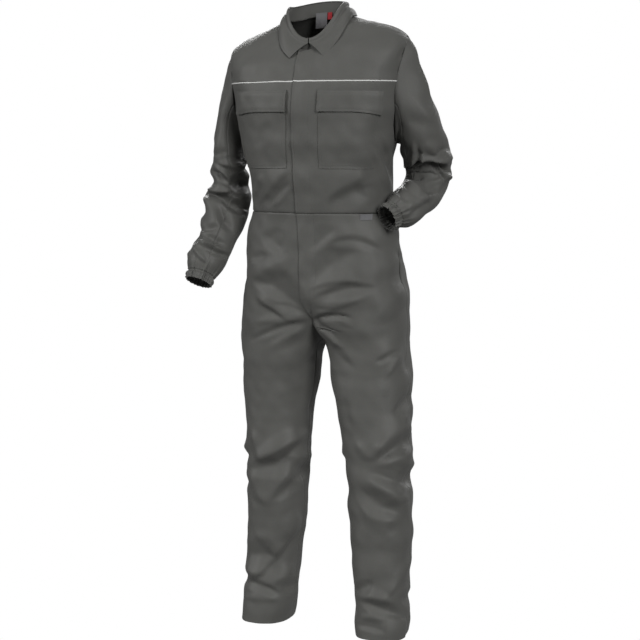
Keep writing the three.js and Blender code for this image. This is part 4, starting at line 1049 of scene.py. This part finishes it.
def seam_relief(p, seams):
    """Height of sewn edges. seams: edge name to (groove depth, width of the double band)."""
    far = edge_distance(p)
    total = np.zeros(p.shape[:2])
    for edge, (deep, band) in seams.items():
        d = far[edge]
        total -= deep * ridge(d, GROOVE_WIDE)
        if band:
            inner, outer = band - BAND["edge"], band + BAND["edge"]
            total += BAND["rise"] * ease(0.0, BAND["start"], d) * (1 - ease(inner, outer, d))
            run = lengths(p, 0 if edge in ("start", "end") else 1)
            pucker = PUCKER["high"] * np.sin(run * 2 * math.pi / PUCKER["long"])
            total += pucker * ridge(d - band, PUCKER["wide"])
            total -= SEWN_IN["deep"] * ridge(d - band + SEWN_IN["inside"], SEWN_IN["wide"])
    return total


def keep(piece, *nodes, look="twill", slot=None):
    """Gives a piece its body, the nodes that it replaces, and its look. The slot is not used."""
    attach(piece, "root")
    if nodes:
        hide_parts(*nodes)
    piece.data.materials.append(material(look))
    return piece


STITCH = dict(long=2.7, gap=0.9, wide=0.55, tall=0.28, foot=0.02)
threads = {}


def sew(name, line, normals):
    """Adds one row of stitches along a line of points to a named group of thread."""
    run = running(line)
    starts = np.arange(0.0, run[-1] - STITCH["long"], STITCH["long"] + STITCH["gap"])
    ends = starts + STITCH["long"]
    n = unit(along_line((starts + ends) / 2, run, normals))
    threads.setdefault(name, []).append((along_line(starts, run, line), along_line(ends, run, line), n))


def line_at(p, n, edge, distance, low=0.0, high=1.0):
    """The line of a grid at a distance from one edge, or at one for each row, between two shares."""
    d = edge_distance(p)[edge]
    if edge in ("top", "bottom"):
        p, n, d = p.transpose(1, 0, 2), n.transpose(1, 0, 2), d.T
    if edge in ("bottom", "end"):
        p, n, d = p[:, ::-1], n[:, ::-1], d[:, ::-1]
    count = len(p)
    away = np.broadcast_to(distance, (count,))
    rows = range(int(low * (count - 1)), int(high * (count - 1)) + 1)
    return tuple(np.array([along_line(away[i], d[i], values[i]) for i in rows]) for values in (p, n))


def sew_edge(group, p, n, edge, *distances, low=0.0, high=1.0):
    for distance in distances:
        sew(group, *line_at(p, n, edge, distance, low, high))


def make_threads():
    """Makes each group of thread one piece: every stitch is a low ridge with pointed ends."""
    quads = np.array([[0, 1, 4, 3], [1, 2, 5, 4], [3, 4, 7, 6], [4, 5, 8, 7]])
    for name, parts in threads.items():
        points, faces = [], []
        for a, b, n in parts:
            across = np.cross(n, unit(b - a))
            half, foot = STITCH["wide"] / 2, STITCH["foot"]
            corners = []
            for end, lift in ((a, foot), (mix(a, b, 0.5), STITCH["tall"]), (b, foot)):
                corners += [end + across * half, end + n * lift, end - across * half]
            base = sum(len(x) for x in points)
            points.append(np.stack(corners, 1).reshape(-1, 3))
            first = base + np.arange(len(a))[:, None] * len(corners)
            faces.append((first[:, :, None] + quads[None]).reshape(-1, 4))
        keep(make_mesh(name, np.concatenate(points), np.concatenate(faces)), slot="twill", look="thread")


PULL = dict(deep=0.7, wide=1.8)  # how a curved line of stitching draws the cloth in


def panel(name, node, p, n, seams, flat, area, curve=None):
    """A sewn panel: creased, with its seams, as a thin shell. curve: distances
    from the end edge, one for each row, of a line of stitching that pulls the cloth in."""
    q, m = crumple(p, n)
    relief = seam_relief(q, seams)
    if curve is not None:
        off = edge_distance(q)["end"] - curve[:, None]
        relief = relief - (curve > 1)[:, None] * PULL["deep"] * ridge(off, PULL["wide"])
    q = q + m * relief[..., None]
    m = grid_normals(q, like=n)
    piece = keep(shell(name, q, m), node)
    return q, m


# Materials


def srgb(r, g, b):
    """A screen colour, 0 to 255, as the linear one that a shader takes."""
    shares = (r / 255, g / 255, b / 255)
    return np.array([c / 12.92 if c <= 0.04045 else ((c + 0.055) / 1.055) ** 2.4 for c in shares])


LOOKS = {
    "twill": dict(color=(92, 92, 89), rough=0.56, sheen=0.06, weave=0.35, cell=0.9),
    "twill_inside": dict(color=(70, 70, 68), rough=0.9, sheen=0.1, weave=0.35, cell=0.9),
    "reflective_piping": dict(color=(232, 232, 230), rough=0.45, sheen=0.0, weave=0.12, cell=0.5),
    "woven_label": dict(color=(112, 112, 114), rough=0.75, sheen=0.1, weave=0.5, cell=0.5),
    "red_tag": dict(color=(160, 36, 44), rough=0.7, sheen=0.1, weave=0.5, cell=0.5),
    "thread": dict(color=(84, 84, 81), rough=0.6, sheen=0.1, weave=0.0, cell=0.5),
}
TONE = ((0.3, 0.93), (0.7, 1.07))  # places on the ramp, and the share of the colour there
FLECK = 0.22  # how strong the flecks are
TWILL_TURN = math.radians(62)
WAVE_UNIT = 6.283  # the wave texture repeats this often in a metre at scale 1
made = {}


def add_node(tree, kind, inputs, **settings):
    """Adds a shader node. inputs: a value, or the socket of another node, for each of its sockets."""
    node = tree.nodes.new(f"ShaderNode{kind}")
    for name, value in settings.items():
        setattr(node, name, value)
    for socket, value in inputs.items():
        if isinstance(value, bpy.types.NodeSocket):
            tree.links.new(value, node.inputs[socket])
        else:
            node.inputs[socket].default_value = value
    return node.outputs, node


def material(name):
    """Cloth: a colour that varies a little, fine flecks, and a twill weave as a bump."""
    if name in made:
        return made[name]
    look = LOOKS[name]
    mat = bpy.data.materials.new(name)
    mat.use_nodes = True
    tree = mat.node_tree
    shader = tree.nodes["Principled BSDF"].inputs
    shader["Roughness"].default_value = look["rough"]
    shader["Sheen Weight"].default_value = look["sheen"]
    shader["Sheen Roughness"].default_value = 0.45
    shader["Specular IOR Level"].default_value = 0.3
    place, _ = add_node(tree, "TexCoord", {})
    at = place["Object"]
    tone, _ = add_node(tree, "TexNoise", {"Vector": at, "Scale": 9.0, "Detail": 5.0})
    color, ramp = add_node(tree, "ValToRGB", {"Fac": tone["Fac"]})
    for element, (where, share) in zip(ramp.color_ramp.elements, TONE):
        element.position = where
        element.color = (*(srgb(*look["color"]) * share), 1)
    fleck, _ = add_node(tree, "TexNoise", {"Vector": at, "Scale": 900.0, "Detail": 2.0})
    mixed, _ = add_node(tree, "Mix", {"Factor": FLECK, 6: color["Color"], 7: fleck["Color"]},
                        data_type="RGBA", blend_type="OVERLAY")
    tree.links.new(mixed[2], shader["Base Color"])
    if look["weave"]:
        turned, _ = add_node(tree, "Mapping", {"Vector": place["UV"], "Rotation": (0, 0, TWILL_TURN)})
        scale = 1000.0 / look["cell"] / WAVE_UNIT
        wave, _ = add_node(tree, "TexWave", {"Vector": turned["Vector"], "Scale": scale,
                                             "Distortion": 0.6, "Detail": 1.0})
        weave, _ = add_node(tree, "Bump", {"Height": wave["Fac"], "Strength": look["weave"],
                                           "Distance": 0.0002})
        soft, _ = add_node(tree, "TexNoise", {"Vector": at, "Scale": 120.0, "Detail": 4.0})
        bumps, _ = add_node(tree, "Bump", {"Height": soft["Fac"], "Normal": weave["Normal"],
                                           "Strength": 0.25, "Distance": 0.0006})
        tree.links.new(bumps["Normal"], shader["Normal"])
    made[name] = mat
    return mat


# The pieces

SIDES = ((-1, "right"), (1, "left"))
FREE_EDGES = ("start", "end", "bottom")
SEAM = (1.3, 0)
FELLED = (1.3, 7.0)
ARMHOLE_SEAM = (1.6, 0)
YOKE_END = (0.8, 10.0)
FRONT_TOP = (0.8, 0)
WAIST_ABOVE = (1.2, 15.0)
WAIST_BELOW = (1.2, 0)
HEM_BAND = (0, 46.0)
FLY_BAND = (-1.6, FLY_LAP + FLY_RISE)  # its free edge stands off a little
FLY_ROWS = (6.0, FLY_BAND[1] - 2.0)  # where the lap is stitched, from its edge
FLY_TURN_Z, FLY_STOP_Z = -640.0, -752.0  # where its stitching turns in and ends
SLEEVE_ROWS = ((26, 110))
SLEEVE_SEAMS = dict(front=120.0, rear=260.0)  # degrees round the arm
SLEEVE_WIDE = dict(top=230.0, under=140.0)
FRONT_AREA = dict(right=(0.036, 0.08), left=(0.042, 0.088))  # of the yoke and of the front below it
CREASE_START, CREASE_STOP = 45, 25  # lengths over which a sleeve's creases grow and fade
GATHER_LONG, GATHER_HIGH = 46.0, 1.7  # how far the cuff's gathers run up the sleeve, how high
GATHERS = ((19, 0.5, 0.4), (27, 0.5, 1.9), (12, 0.35, 3.1))  # number round, height and phase


def gathers(side, angle):
    """Uneven small pleats round a cuff."""
    total = np.zeros(angle.shape)
    for waves, high, phase in GATHERS:
        total += high * np.sin(waves * angle + phase + side)
    return total


def sleeve(side, tag):
    """The top and under sleeve, sewn together along a front and a rear seam."""
    front, rear = SLEEVE_SEAMS["front"], SLEEVE_SEAMS["rear"]
    top = mix(rear - 360.0, front, spread(SLEEVE_WIDE["top"]))
    under = mix(front, rear, spread(SLEEVE_WIDE["under"]))
    degrees = np.concatenate([top, under[1:-1]])
    cap_rows, arm_rows = (np.linspace(0, 1, count) for count in SLEEVE_ROWS)
    p = sleeve_grid(side, degrees / 360.0, cap_rows[:-1], arm_rows)
    down = lengths(p, 0)
    left = down[-1:] - down
    share = ease(0, CREASE_START, down) * ease(0, CREASE_STOP, left)
    q, n = crumple(p, grid_normals(p, True), True, True, share)
    gathered = ease(GATHER_LONG, 4, left) * gathers(side, np.radians(degrees)) * GATHER_HIGH
    q = q + n * gathered[..., None]
    m = grid_normals(q, True)
    q, m = (np.concatenate([values, values[:, :1]], 1) for values in (q, m))
    split = len(top)
    for part, columns in (("top", slice(0, split)), ("under", slice(split - 1, None))):
        seams = {"start": FELLED if part == "top" else SEAM, "end": SEAM, "top": ARMHOLE_SEAM}
        near = q[:, columns]
        near = near + m[:, columns] * seam_relief(near, seams)[..., None]
        n = grid_normals(near, like=m[:, columns])
        piece = keep(shell(f"sleeve_{part}_cloth_{tag}", near, n), f"sleeve_{part}_{tag}")
        if part == "top":
            sew_edge(f"sleeve_stitching_{tag}", near, n, "start", 1.8, 6.4)


def leg(side, tag, is_back):
    """A front or back leg; the left front one carries the end of the fly."""
    part = "back_leg" if is_back else "front_leg"
    has_fly = side > 0 and not is_back
    rows = spread(LEG_LONG)
    z = mix(WAIST_Z, HEM_Z, rows)
    seams = {"top": WAIST_BELOW, "start": SEAM, "bottom": HEM_BAND}
    curve = None
    if has_fly:
        curve = FLY_ROWS[1] * (1 - ease(FLY_TURN_Z, FLY_STOP_Z, z) ** 2)
    else:
        seams["end"] = SEAM
    q, m = panel(f"{part}_cloth_{tag}", f"{part}_{tag}", *leg_grid(side, is_back, rows), seams,
                 (0.38, 1.08), 0.3, curve)
    sew_edge(f"leg_stitching_{tag}", q, m, "bottom", 44.0)
    if has_fly:
        sew_edge("fly_stitching", q, m, "end", curve, high=float(np.mean(z > FLY_STOP_Z)))


for side, tag in SIDES:
    end_seam = FLY_BAND if side > 0 else SEAM
    for name, node, low, high, long, seams, flat, group, away in (
        ("yoke_cloth", "front_yoke", 0.0, PIPING_SIDE, 170.0,
         {"bottom": YOKE_END, "start": SEAM, "top": SEAM, "end": end_seam}, (0.26, 0.2),
         "yoke_stitching", 8.0),
        ("front_cloth", "front", PIPING_SIDE, float(TORSO_END), 330.0,
         {"top": FRONT_TOP, "start": SEAM, "bottom": WAIST_ABOVE, "end": end_seam}, (0.28, 0.34),
         "front_stitching", 13.0),
    ):
        area = FRONT_AREA[tag][name == "front_cloth"]
        q, m = panel(f"{name}_{tag}", f"{node}_{tag}", *front_grid(side, low, high, spread(long)),
                     seams, flat, area)
        sew_edge(f"{group}_{tag}", q, m, "bottom", away)
        if side > 0:
            sew_edge("fly_stitching", q, m, "end", *FLY_ROWS)
    leg(side, tag, False)
    leg(side, tag, True)
    sleeve(side, tag)

q, m = panel("back_cloth", "back", *back_grid(spread(TORSO_LONG)),
             {"top": SEAM, "start": SEAM, "end": SEAM, "bottom": WAIST_ABOVE}, (0.56, 0.62), 0.26)
sew_edge("back_stitching", q, m, "bottom", 13.0)


# What lies on the fronts


def on_front(p, n, lift):
    """Creased points lifted off the front."""
    q, m = crumple(p, n)
    return q + m * lift, m


PUFF = dict(edge=1.2, rise=1.6, wide=26)  # how a pocket stands off the front
FLAP_LIFT = dict(edge=2.6, top=2.8, top_share=(0.02, 0.22), puff=0.8, wide=14, low=1.2, low_share=(0.6, 1))
DENT = dict(pocket=(0.45, 3.0), flap=(0.5, 5.0), wide=1.3)  # depth of the sewn line, way from the edge


def pocket(side, tag):
    share = spread(140.0)[None, :]
    down = spread(POCKET["top"] - POCKET["end"])[:, None]
    z = mix(POCKET["top"], POCKET["end"], down) + 0 * share
    p, n = pocket_points(side, z, share, 0)
    q, m = crumple(p, n)
    near = free_distance(q)
    deep, away = DENT["pocket"]
    puff = PUFF["edge"] + PUFF["rise"] * ease(0, PUFF["wide"], near) - deep * ridge(near - away, DENT["wide"])
    q = q + m * (POCKET_LIFT + puff)[..., None]
    m = grid_normals(q, like=n)
    piece = keep(shell(f"pocket_cloth_{tag}", q, m), f"chest_pocket_{tag}")
    for edge in FREE_EDGES:
        sew_edge(f"pocket_stitching_{tag}", q, m, edge, 2.6, 8.0, low=0.1)


def flap(side, tag):
    share = spread(147.0)[None, :]
    down = spread(-FLAP["end"] + FLAP["top"] + 4)[:, None]
    end = FLAP["end"] - FLAP["drop"] * ease(0.45, 1, share)
    p, n = pocket_points(side, mix(FLAP["top"], end, down), share + 0 * down, FLAP["wider"])
    q, m = crumple(p, n)
    near = free_distance(q)
    lift = POCKET_LIFT + FLAP_LIFT["edge"] + FLAP_LIFT["top"] * ease(*FLAP_LIFT["top_share"], down)
    lift = lift + FLAP_LIFT["puff"] * ease(0, FLAP_LIFT["wide"], near)
    deep, away = DENT["flap"]
    lift = lift - deep * ridge(near - away, DENT["wide"])
    lift = lift + FLAP_LIFT["low"] * ease(*FLAP_LIFT["low_share"], down)
    q = q + m * lift[..., None]
    m = grid_normals(q, like=n)
    piece = keep(shell(f"flap_cloth_{tag}", q, m, DOUBLE_THICK), f"pocket_flap_{tag}")
    for edge in FREE_EDGES:
        sew_edge(f"pocket_stitching_{tag}", q, m, edge, 1.6, 6.0)
    sew_edge(f"pocket_stitching_{tag}", q, m, "top", 2.0, 8.0)


for side, tag in SIDES:
    pocket(side, tag)
    flap(side, tag)


# Piping, collar, cuffs and labels

PIPING_ROUND = dict(columns=9, high=0.75, foot=0.35, thick=0.6, cell=6.0, step=0.05)


def piping(side, tag):
    """A round tape in the yoke seam; the right one ends under the lap."""
    step, ends = PIPING_ROUND["step"], np.array([0.0, 1.0])
    p, n = front_grid(side, PIPING_SIDE, PIPING_SIDE + step, ends, PIPING_ROUND["cell"])
    above, _ = front_grid(side, PIPING_SIDE - step, PIPING_SIDE, ends, PIPING_ROUND["cell"])
    p, n = p[0], n[0]
    q = p + n * crease_height(p, n)[..., None]
    down = unit(p - above[0])
    if side < 0:
        middle = float(torso_ring(piping_row(side, 1.0))["ox"])
        inside = p[:, 0] < middle - FLY_LAP + 2
        q, n, down = q[inside], n[inside], down[inside]
    q, n, down = q[1:], n[1:], down[1:]
    rows = []
    for turn in np.linspace(-1, 1, PIPING_ROUND["columns"]):
        rise = PIPING_THICK * math.cos(turn * math.pi / 2) * PIPING_ROUND["high"] + PIPING_ROUND["foot"]
        rows.append(q + down * turn * PIPING_TALL / 2 + n * rise)
    q = np.array(rows)
    keep(shell(f"piping_tape_{tag}", q, np.array([n] * len(rows)), PIPING_ROUND["thick"]), f"piping_{tag}",
         look="reflective_piping")


def round_neck(degrees):
    """Places round the neck from the right front to the left front: sides and angles."""
    angle = np.radians(np.concatenate([degrees, degrees[-2::-1]]))
    side = np.concatenate([np.full(len(degrees), -1), np.full(len(degrees) - 1, 1)])
    return side, angle


def smooth_rows(p, each):
    """A curve through the rows of a grid, each interval cut into a number of steps."""
    last = len(p) - 1
    rows = []
    for i in range(last):
        a, b = p[max(0, i - 1)], p[i]
        c, d = p[i + 1], p[min(last, i + 2)]
        for k in range(each):
            s = k / each
            rows.append(0.5 * (2 * b + (c - a) * s + (2 * a - 5 * b + 4 * c - d) * s**2
                               + (3 * b - a - 3 * c + d) * s**3))
    rows.append(p[last])
    return np.array(rows)


NECK_DEGREES = np.concatenate([np.linspace(-89, -60, 16), np.linspace(-57, 90, 50)])
LEAF_OVER = ((-1, 2.8), (2.2, 2.8), (LEAF_ROLL, -2), (LEAF_ROLL + 1, -9))  # out and up, over the stand
LEAF_BULGE = (3.2, 2.5)  # out and up
LEAF_REST = dict(above=1.4, left=0.9)
LEAF_DENT = dict(deep=0.4, away=5.0, wide=1.3)


def collar():
    """The stand, and the leaf that rolls over it and rests on the yokes and the back."""
    side, angle = round_neck(NECK_DEGREES)
    foot = torso_point(side, 0.0 * angle, angle) + [0, 0, LIFT]
    top = ring_point(COLLAR_TOP, side, angle)
    p = mix(foot[None], top[None], np.linspace(0, 1, 12)[:, None, None])
    out = np.stack([side * np.cos(angle), np.sin(angle), 0 * angle], 1)[None] + 0 * p
    piece = keep(shell("stand_cloth", p, grid_normals(p, like=out), DOUBLE_THICK), "collar_stand")

    along = np.empty_like(top)
    along[1:-1] = top[2:] - top[:-2]
    along[0], along[-1] = top[1] - top[0], top[-1] - top[-2]
    along = unit(along)
    rise = unit(np.array([0, 0, 1]) - along * along[:, 2:])
    out = unit(np.stack([side * np.cos(angle), np.sin(angle) * 1.1, 0 * angle], 1))
    degrees = np.degrees(angle)
    edge = np.radians(column(LEAF, "top", degrees, "edge"))
    rest, rest_n = torso_cloth(side, column(LEAF, "top", degrees, "t"), edge)
    above = MODEL_WALL + LIFT + LEAF_REST["above"] + np.where(side > 0, LEAF_REST["left"], 0)
    rest = rest + rest_n * above[:, None]
    rows = [top + out * o + rise * u for o, u in LEAF_OVER]
    last = rows[-1]
    for share in (0.25, 0.5, 0.75, 1.0):
        bulge = math.sin(math.pi * share)
        rows.append(mix(last, rest, share) + out * LEAF_BULGE[0] * bulge
                    + np.array([0, 0, LEAF_BULGE[1] * bulge]))
    p = smooth_rows(np.array(rows), 6)
    like = np.stack([p[..., 0] - COLLAR_TOP["ox"], p[..., 1], 60 + 0 * p[..., 0]], -1)
    n = grid_normals(p, like=like)
    wave = 0.5 * np.sin(lengths(p, 1) / 31.0) + 0.35 * np.sin(lengths(p, 1) / 13.0 + lengths(p, 0) / 9.0)
    dent = LEAF_DENT["deep"] * ridge(free_distance(p) - LEAF_DENT["away"], LEAF_DENT["wide"])
    p = p + n * (wave * ease(8, 30, edge_distance(p)["top"]) - dent)[..., None]
    n = grid_normals(p, like=like)
    piece = keep(shell("leaf_cloth", p, n, DOUBLE_THICK), "collar_leaf")
    for edge, low in (("bottom", 0.0), ("start", 0.15), ("end", 0.15)):
        sew_edge("collar_stitching", p, n, edge, 5.0, low=low)


CUFF = dict(columns=288, rows=22, waist=0.05, waist_end=0.4, flare=0.06, flare_from=0.75, wave=2.7, pinch=1.1)
ELASTIC = dict(at=(3, 19), wide=2.2)  # two sewn lines, from the seam


def cuff(side, tag):
    """A gathered cuff, drawn in by elastic."""
    angle = 2 * math.pi * np.arange(CUFF["columns"]) / CUFF["columns"]
    middle = arm_middle(side, float(SLEEVE_END))
    down, _, _ = arm_frame(side, float(SLEEVE_END))
    part = arm_point(side, SLEEVE_END + 0 * angle, angle) - middle
    reach = np.sqrt(dot(part, part))
    wave = gathers(side, angle)[:, None] * CUFF["wave"]
    rows = []
    for at in np.linspace(0, 1, CUFF["rows"]):
        away = at * CUFF_LONG
        size = 1 - CUFF["waist"] * math.sin(math.pi * min(1, at / CUFF["waist_end"]))
        size = size - CUFF["flare"] * ease(CUFF["flare_from"], 1, at)
        pinch = sum(ridge(away - place, ELASTIC["wide"]) for place in ELASTIC["at"])
        height = wave * (1 - 0.5 * pinch) - CUFF["pinch"] * pinch
        rows.append(middle + part * (size + height / reach) + down * (away + LIFT))
    p = np.array(rows)
    piece = keep(shell(f"cuff_cloth_{tag}", p, grid_normals(p, True), CLOTH_THICK, True), f"cuff_{tag}")


for side, tag in SIDES:
    piping(side, tag)
    cuff(side, tag)
collar()

LABEL_THICK = 0.7
HANG = dict(off=3.6, lean=2, bow=0.5, above=8)  # how a label hangs inside the back of the neck


def label(name, node, look, x0, wide, tall):
    """A bare woven label, sewn along its top."""
    share = np.linspace(0, 1, 14)[None, :]
    down = np.linspace(0, 1, 18)[:, None]
    x = x0 + wide * share
    angle = angle_at(torso_ring(0.0 * x), np.abs(x), True)
    p = torso_point(np.where(x < 0, -1, 1), 0.0 * x, angle) + 0 * down[..., None]
    p[..., 1] -= HANG["off"] + HANG["lean"] * down + HANG["bow"] * np.sin(math.pi * share) * down
    p[..., 2] += HANG["above"] - tall * down
    n = np.zeros_like(p)
    n[..., 1] = 1
    piece = keep(shell(name, p, n, LABEL_THICK), node, look=look)
    sew(f"{name}_stitching", p[1, 1:-1] - [0, LABEL_THICK + 0.1, 0], -n[1, 1:-1])


label("neck_label_cloth", "neck_label", "woven_label", -24, 29, 38)
label("neck_tag_cloth", "neck_tag", "red_tag", 6.5, 12, 18)

WAIST_LABEL = dict(near=129, far=154, top=-482, end=-496, lift=1.6)


def waist_label():
    share = np.linspace(0, 1, 12)[None, :]
    down = np.linspace(0, 1, 8)[:, None]
    across = mix(WAIST_LABEL["near"], WAIST_LABEL["far"], share) + 0 * down
    z = mix(WAIST_LABEL["top"], WAIST_LABEL["end"], down) + 0 * share
    q, m = on_front(*front_at(1, across, z)[:2], WAIST_LABEL["lift"])
    piece = keep(shell("waist_label_cloth", q, m, LABEL_THICK), "waist_label", look="woven_label")


ZIP_GAP = 0.3
TOOTH = dict(long=0.32, inner=-0.2, outer=2.4, low=0.1, high=1.1)
BOX = np.array([[0, 1, 3, 2], [4, 6, 7, 5], [0, 4, 5, 1], [2, 3, 7, 6], [1, 5, 7, 3], [0, 2, 6, 4]])


def front_zip():
    """The closed zip behind the lap: two tapes and their teeth."""
    z = np.linspace(ZIP["top"], ZIP["end"], 150)[:, None]
    tapes = []
    for side, start, end in ((-1, ZIP["half"], ZIP_GAP), (1, ZIP_GAP, ZIP["half"])):
        across = np.linspace(start, end, 4)[None, :]
        tapes.append(on_front(*front_at(side, across + 0 * z, z + 0 * across)[:2], -ZIP["depth"]))
    q, m = (np.concatenate(values, 1) for values in zip(*tapes))
    piece = keep(shell("zip_tape", q, m, LABEL_THICK), "front_zip", look="twill_inside")
    middle = (q[:, 3] + q[:, 4]) / 2
    run = running(middle)
    at = np.arange(1.0, run[-1] - 1, ZIP["pitch"])
    centre = along_line(at, run, middle)
    n = unit(along_line(at, run, m[:, 3]))
    down = unit(np.gradient(centre, axis=0))
    way = np.cross(down, n) * np.where(np.arange(len(at)) % 2, 1, -1)[:, None]
    corners = []
    for u, v, w in itertools.product((-1, 1), (TOOTH["inner"], 1), (0, 1)):
        corners.append(centre + down * u * ZIP["pitch"] * TOOTH["long"] + way * v * TOOTH["outer"]
                       + n * (TOOTH["low"] + w * TOOTH["high"]))
    points = np.stack(corners, 1).reshape(-1, 3)
    faces = (np.arange(len(at))[:, None, None] * len(corners) + BOX[None]).reshape(-1, 4)
    keep(make_mesh("zip_teeth", points, faces), slot="twill_inside", look="thread")


def hip_facing(side, tag):
    """The facing behind a side opening, which follows the creases of the leg panels over it."""
    z = mix(FACING["top"], FACING["end"], spread(FACING["top"] - FACING["end"]))[:, None]
    angle = np.radians(np.linspace(-FACING["front"], FACING["rear"], 12))[None, :]
    q, m = on_front(*leg_cloth(side, z + 0 * angle, angle + 0 * z), -FACING["depth"])
    piece = keep(shell(f"hip_facing_cloth_{tag}", q, m, 0.8), f"hip_facing_{tag}", look="twill_inside")


waist_label()
front_zip()
for side, tag in SIDES:
    hip_facing(side, tag)
make_threads()


# Camera and light


def set_camera():
    data = bpy.data.cameras.new("camera")
    data.sensor_width = 36.0
    data.lens = CAMERA["focal_px"] / PHOTO_PX * data.sensor_width
    camera = bpy.data.objects.new("camera", data)
    bpy.context.scene.collection.objects.link(camera)
    camera.location = TARGET * MM + TOWARD * CAMERA["distance"] * MM
    camera.rotation_euler = (math.pi / 2 - math.radians(CAMERA["elevation"]), 0,
                             math.radians(CAMERA["azimuth"]))
    bpy.context.scene.camera = camera


def glow(name, strength):
    """A plain white that shines evenly."""
    mat = bpy.data.materials.new(name)
    mat.use_nodes = True
    shader = mat.node_tree.nodes["Principled BSDF"].inputs
    shader["Base Color"].default_value = (0, 0, 0, 1)
    shader["Specular IOR Level"].default_value = 0
    shader["Emission Color"].default_value = (1, 1, 1, 1)
    shader["Emission Strength"].default_value = strength
    return mat


FLOOR_DROP = 90.0
FLOOR_REACH = 40000.0


def add_floor():
    """A white floor that the camera sees and that throws no light back onto the cloth."""
    level = HEM_Z - FLOOR_DROP
    corners = [(x * FLOOR_REACH, y * FLOOR_REACH, level) for x, y in ((-1, -1), (1, -1), (1, 1), (-1, 1))]
    floor = make_mesh("floor", corners, [(0, 1, 2, 3)])
    floor.data.materials.append(glow("floor_white", 1.0))
    floor.visible_diffuse = False
    floor.visible_glossy = False
    floor.visible_shadow = False


def add_sun(name, azimuth, elevation, power, softness):
    """A distant soft light; azimuth 0 shines on the front, plus from the wearer's left."""
    data = bpy.data.lights.new(name, "SUN")
    data.energy = power
    data.angle = math.radians(softness)
    lamp = bpy.data.objects.new(name, data)
    bpy.context.scene.collection.objects.link(lamp)
    lamp.rotation_euler = Vector(direction(azimuth, elevation)).to_track_quat("Z", "Y").to_euler()


def set_world(seen, cast):
    """White behind the suit, and a weaker even light from all round it."""
    world = bpy.data.worlds.new("world")
    bpy.context.scene.world = world
    world.use_nodes = True
    tree = world.node_tree
    behind = tree.nodes["Background"]
    behind.inputs["Color"].default_value = (1, 1, 1, 1)
    behind.inputs["Strength"].default_value = seen
    around, _ = add_node(tree, "Background", {"Color": (1, 1, 1, 1), "Strength": cast})
    path, _ = add_node(tree, "LightPath", {})
    chosen, _ = add_node(tree, "MixShader", {"Fac": path["Is Camera Ray"], 1: around["Background"],
                                             2: behind.outputs["Background"]})
    tree.links.new(chosen["Shader"], tree.nodes["World Output"].inputs["Surface"])


set_camera()
add_floor()
add_sun("right_light", 48, 22, 1.9, 32)
add_sun("left_light", -50, 26, 1.45, 20)
add_sun("back_right_light", -155, 24, 1.4, 20)
add_sun("back_left_light", 168, 24, 0.7, 20)
set_world(1.0, 0.14)
bpy.context.scene.view_settings.view_transform = "Standard"
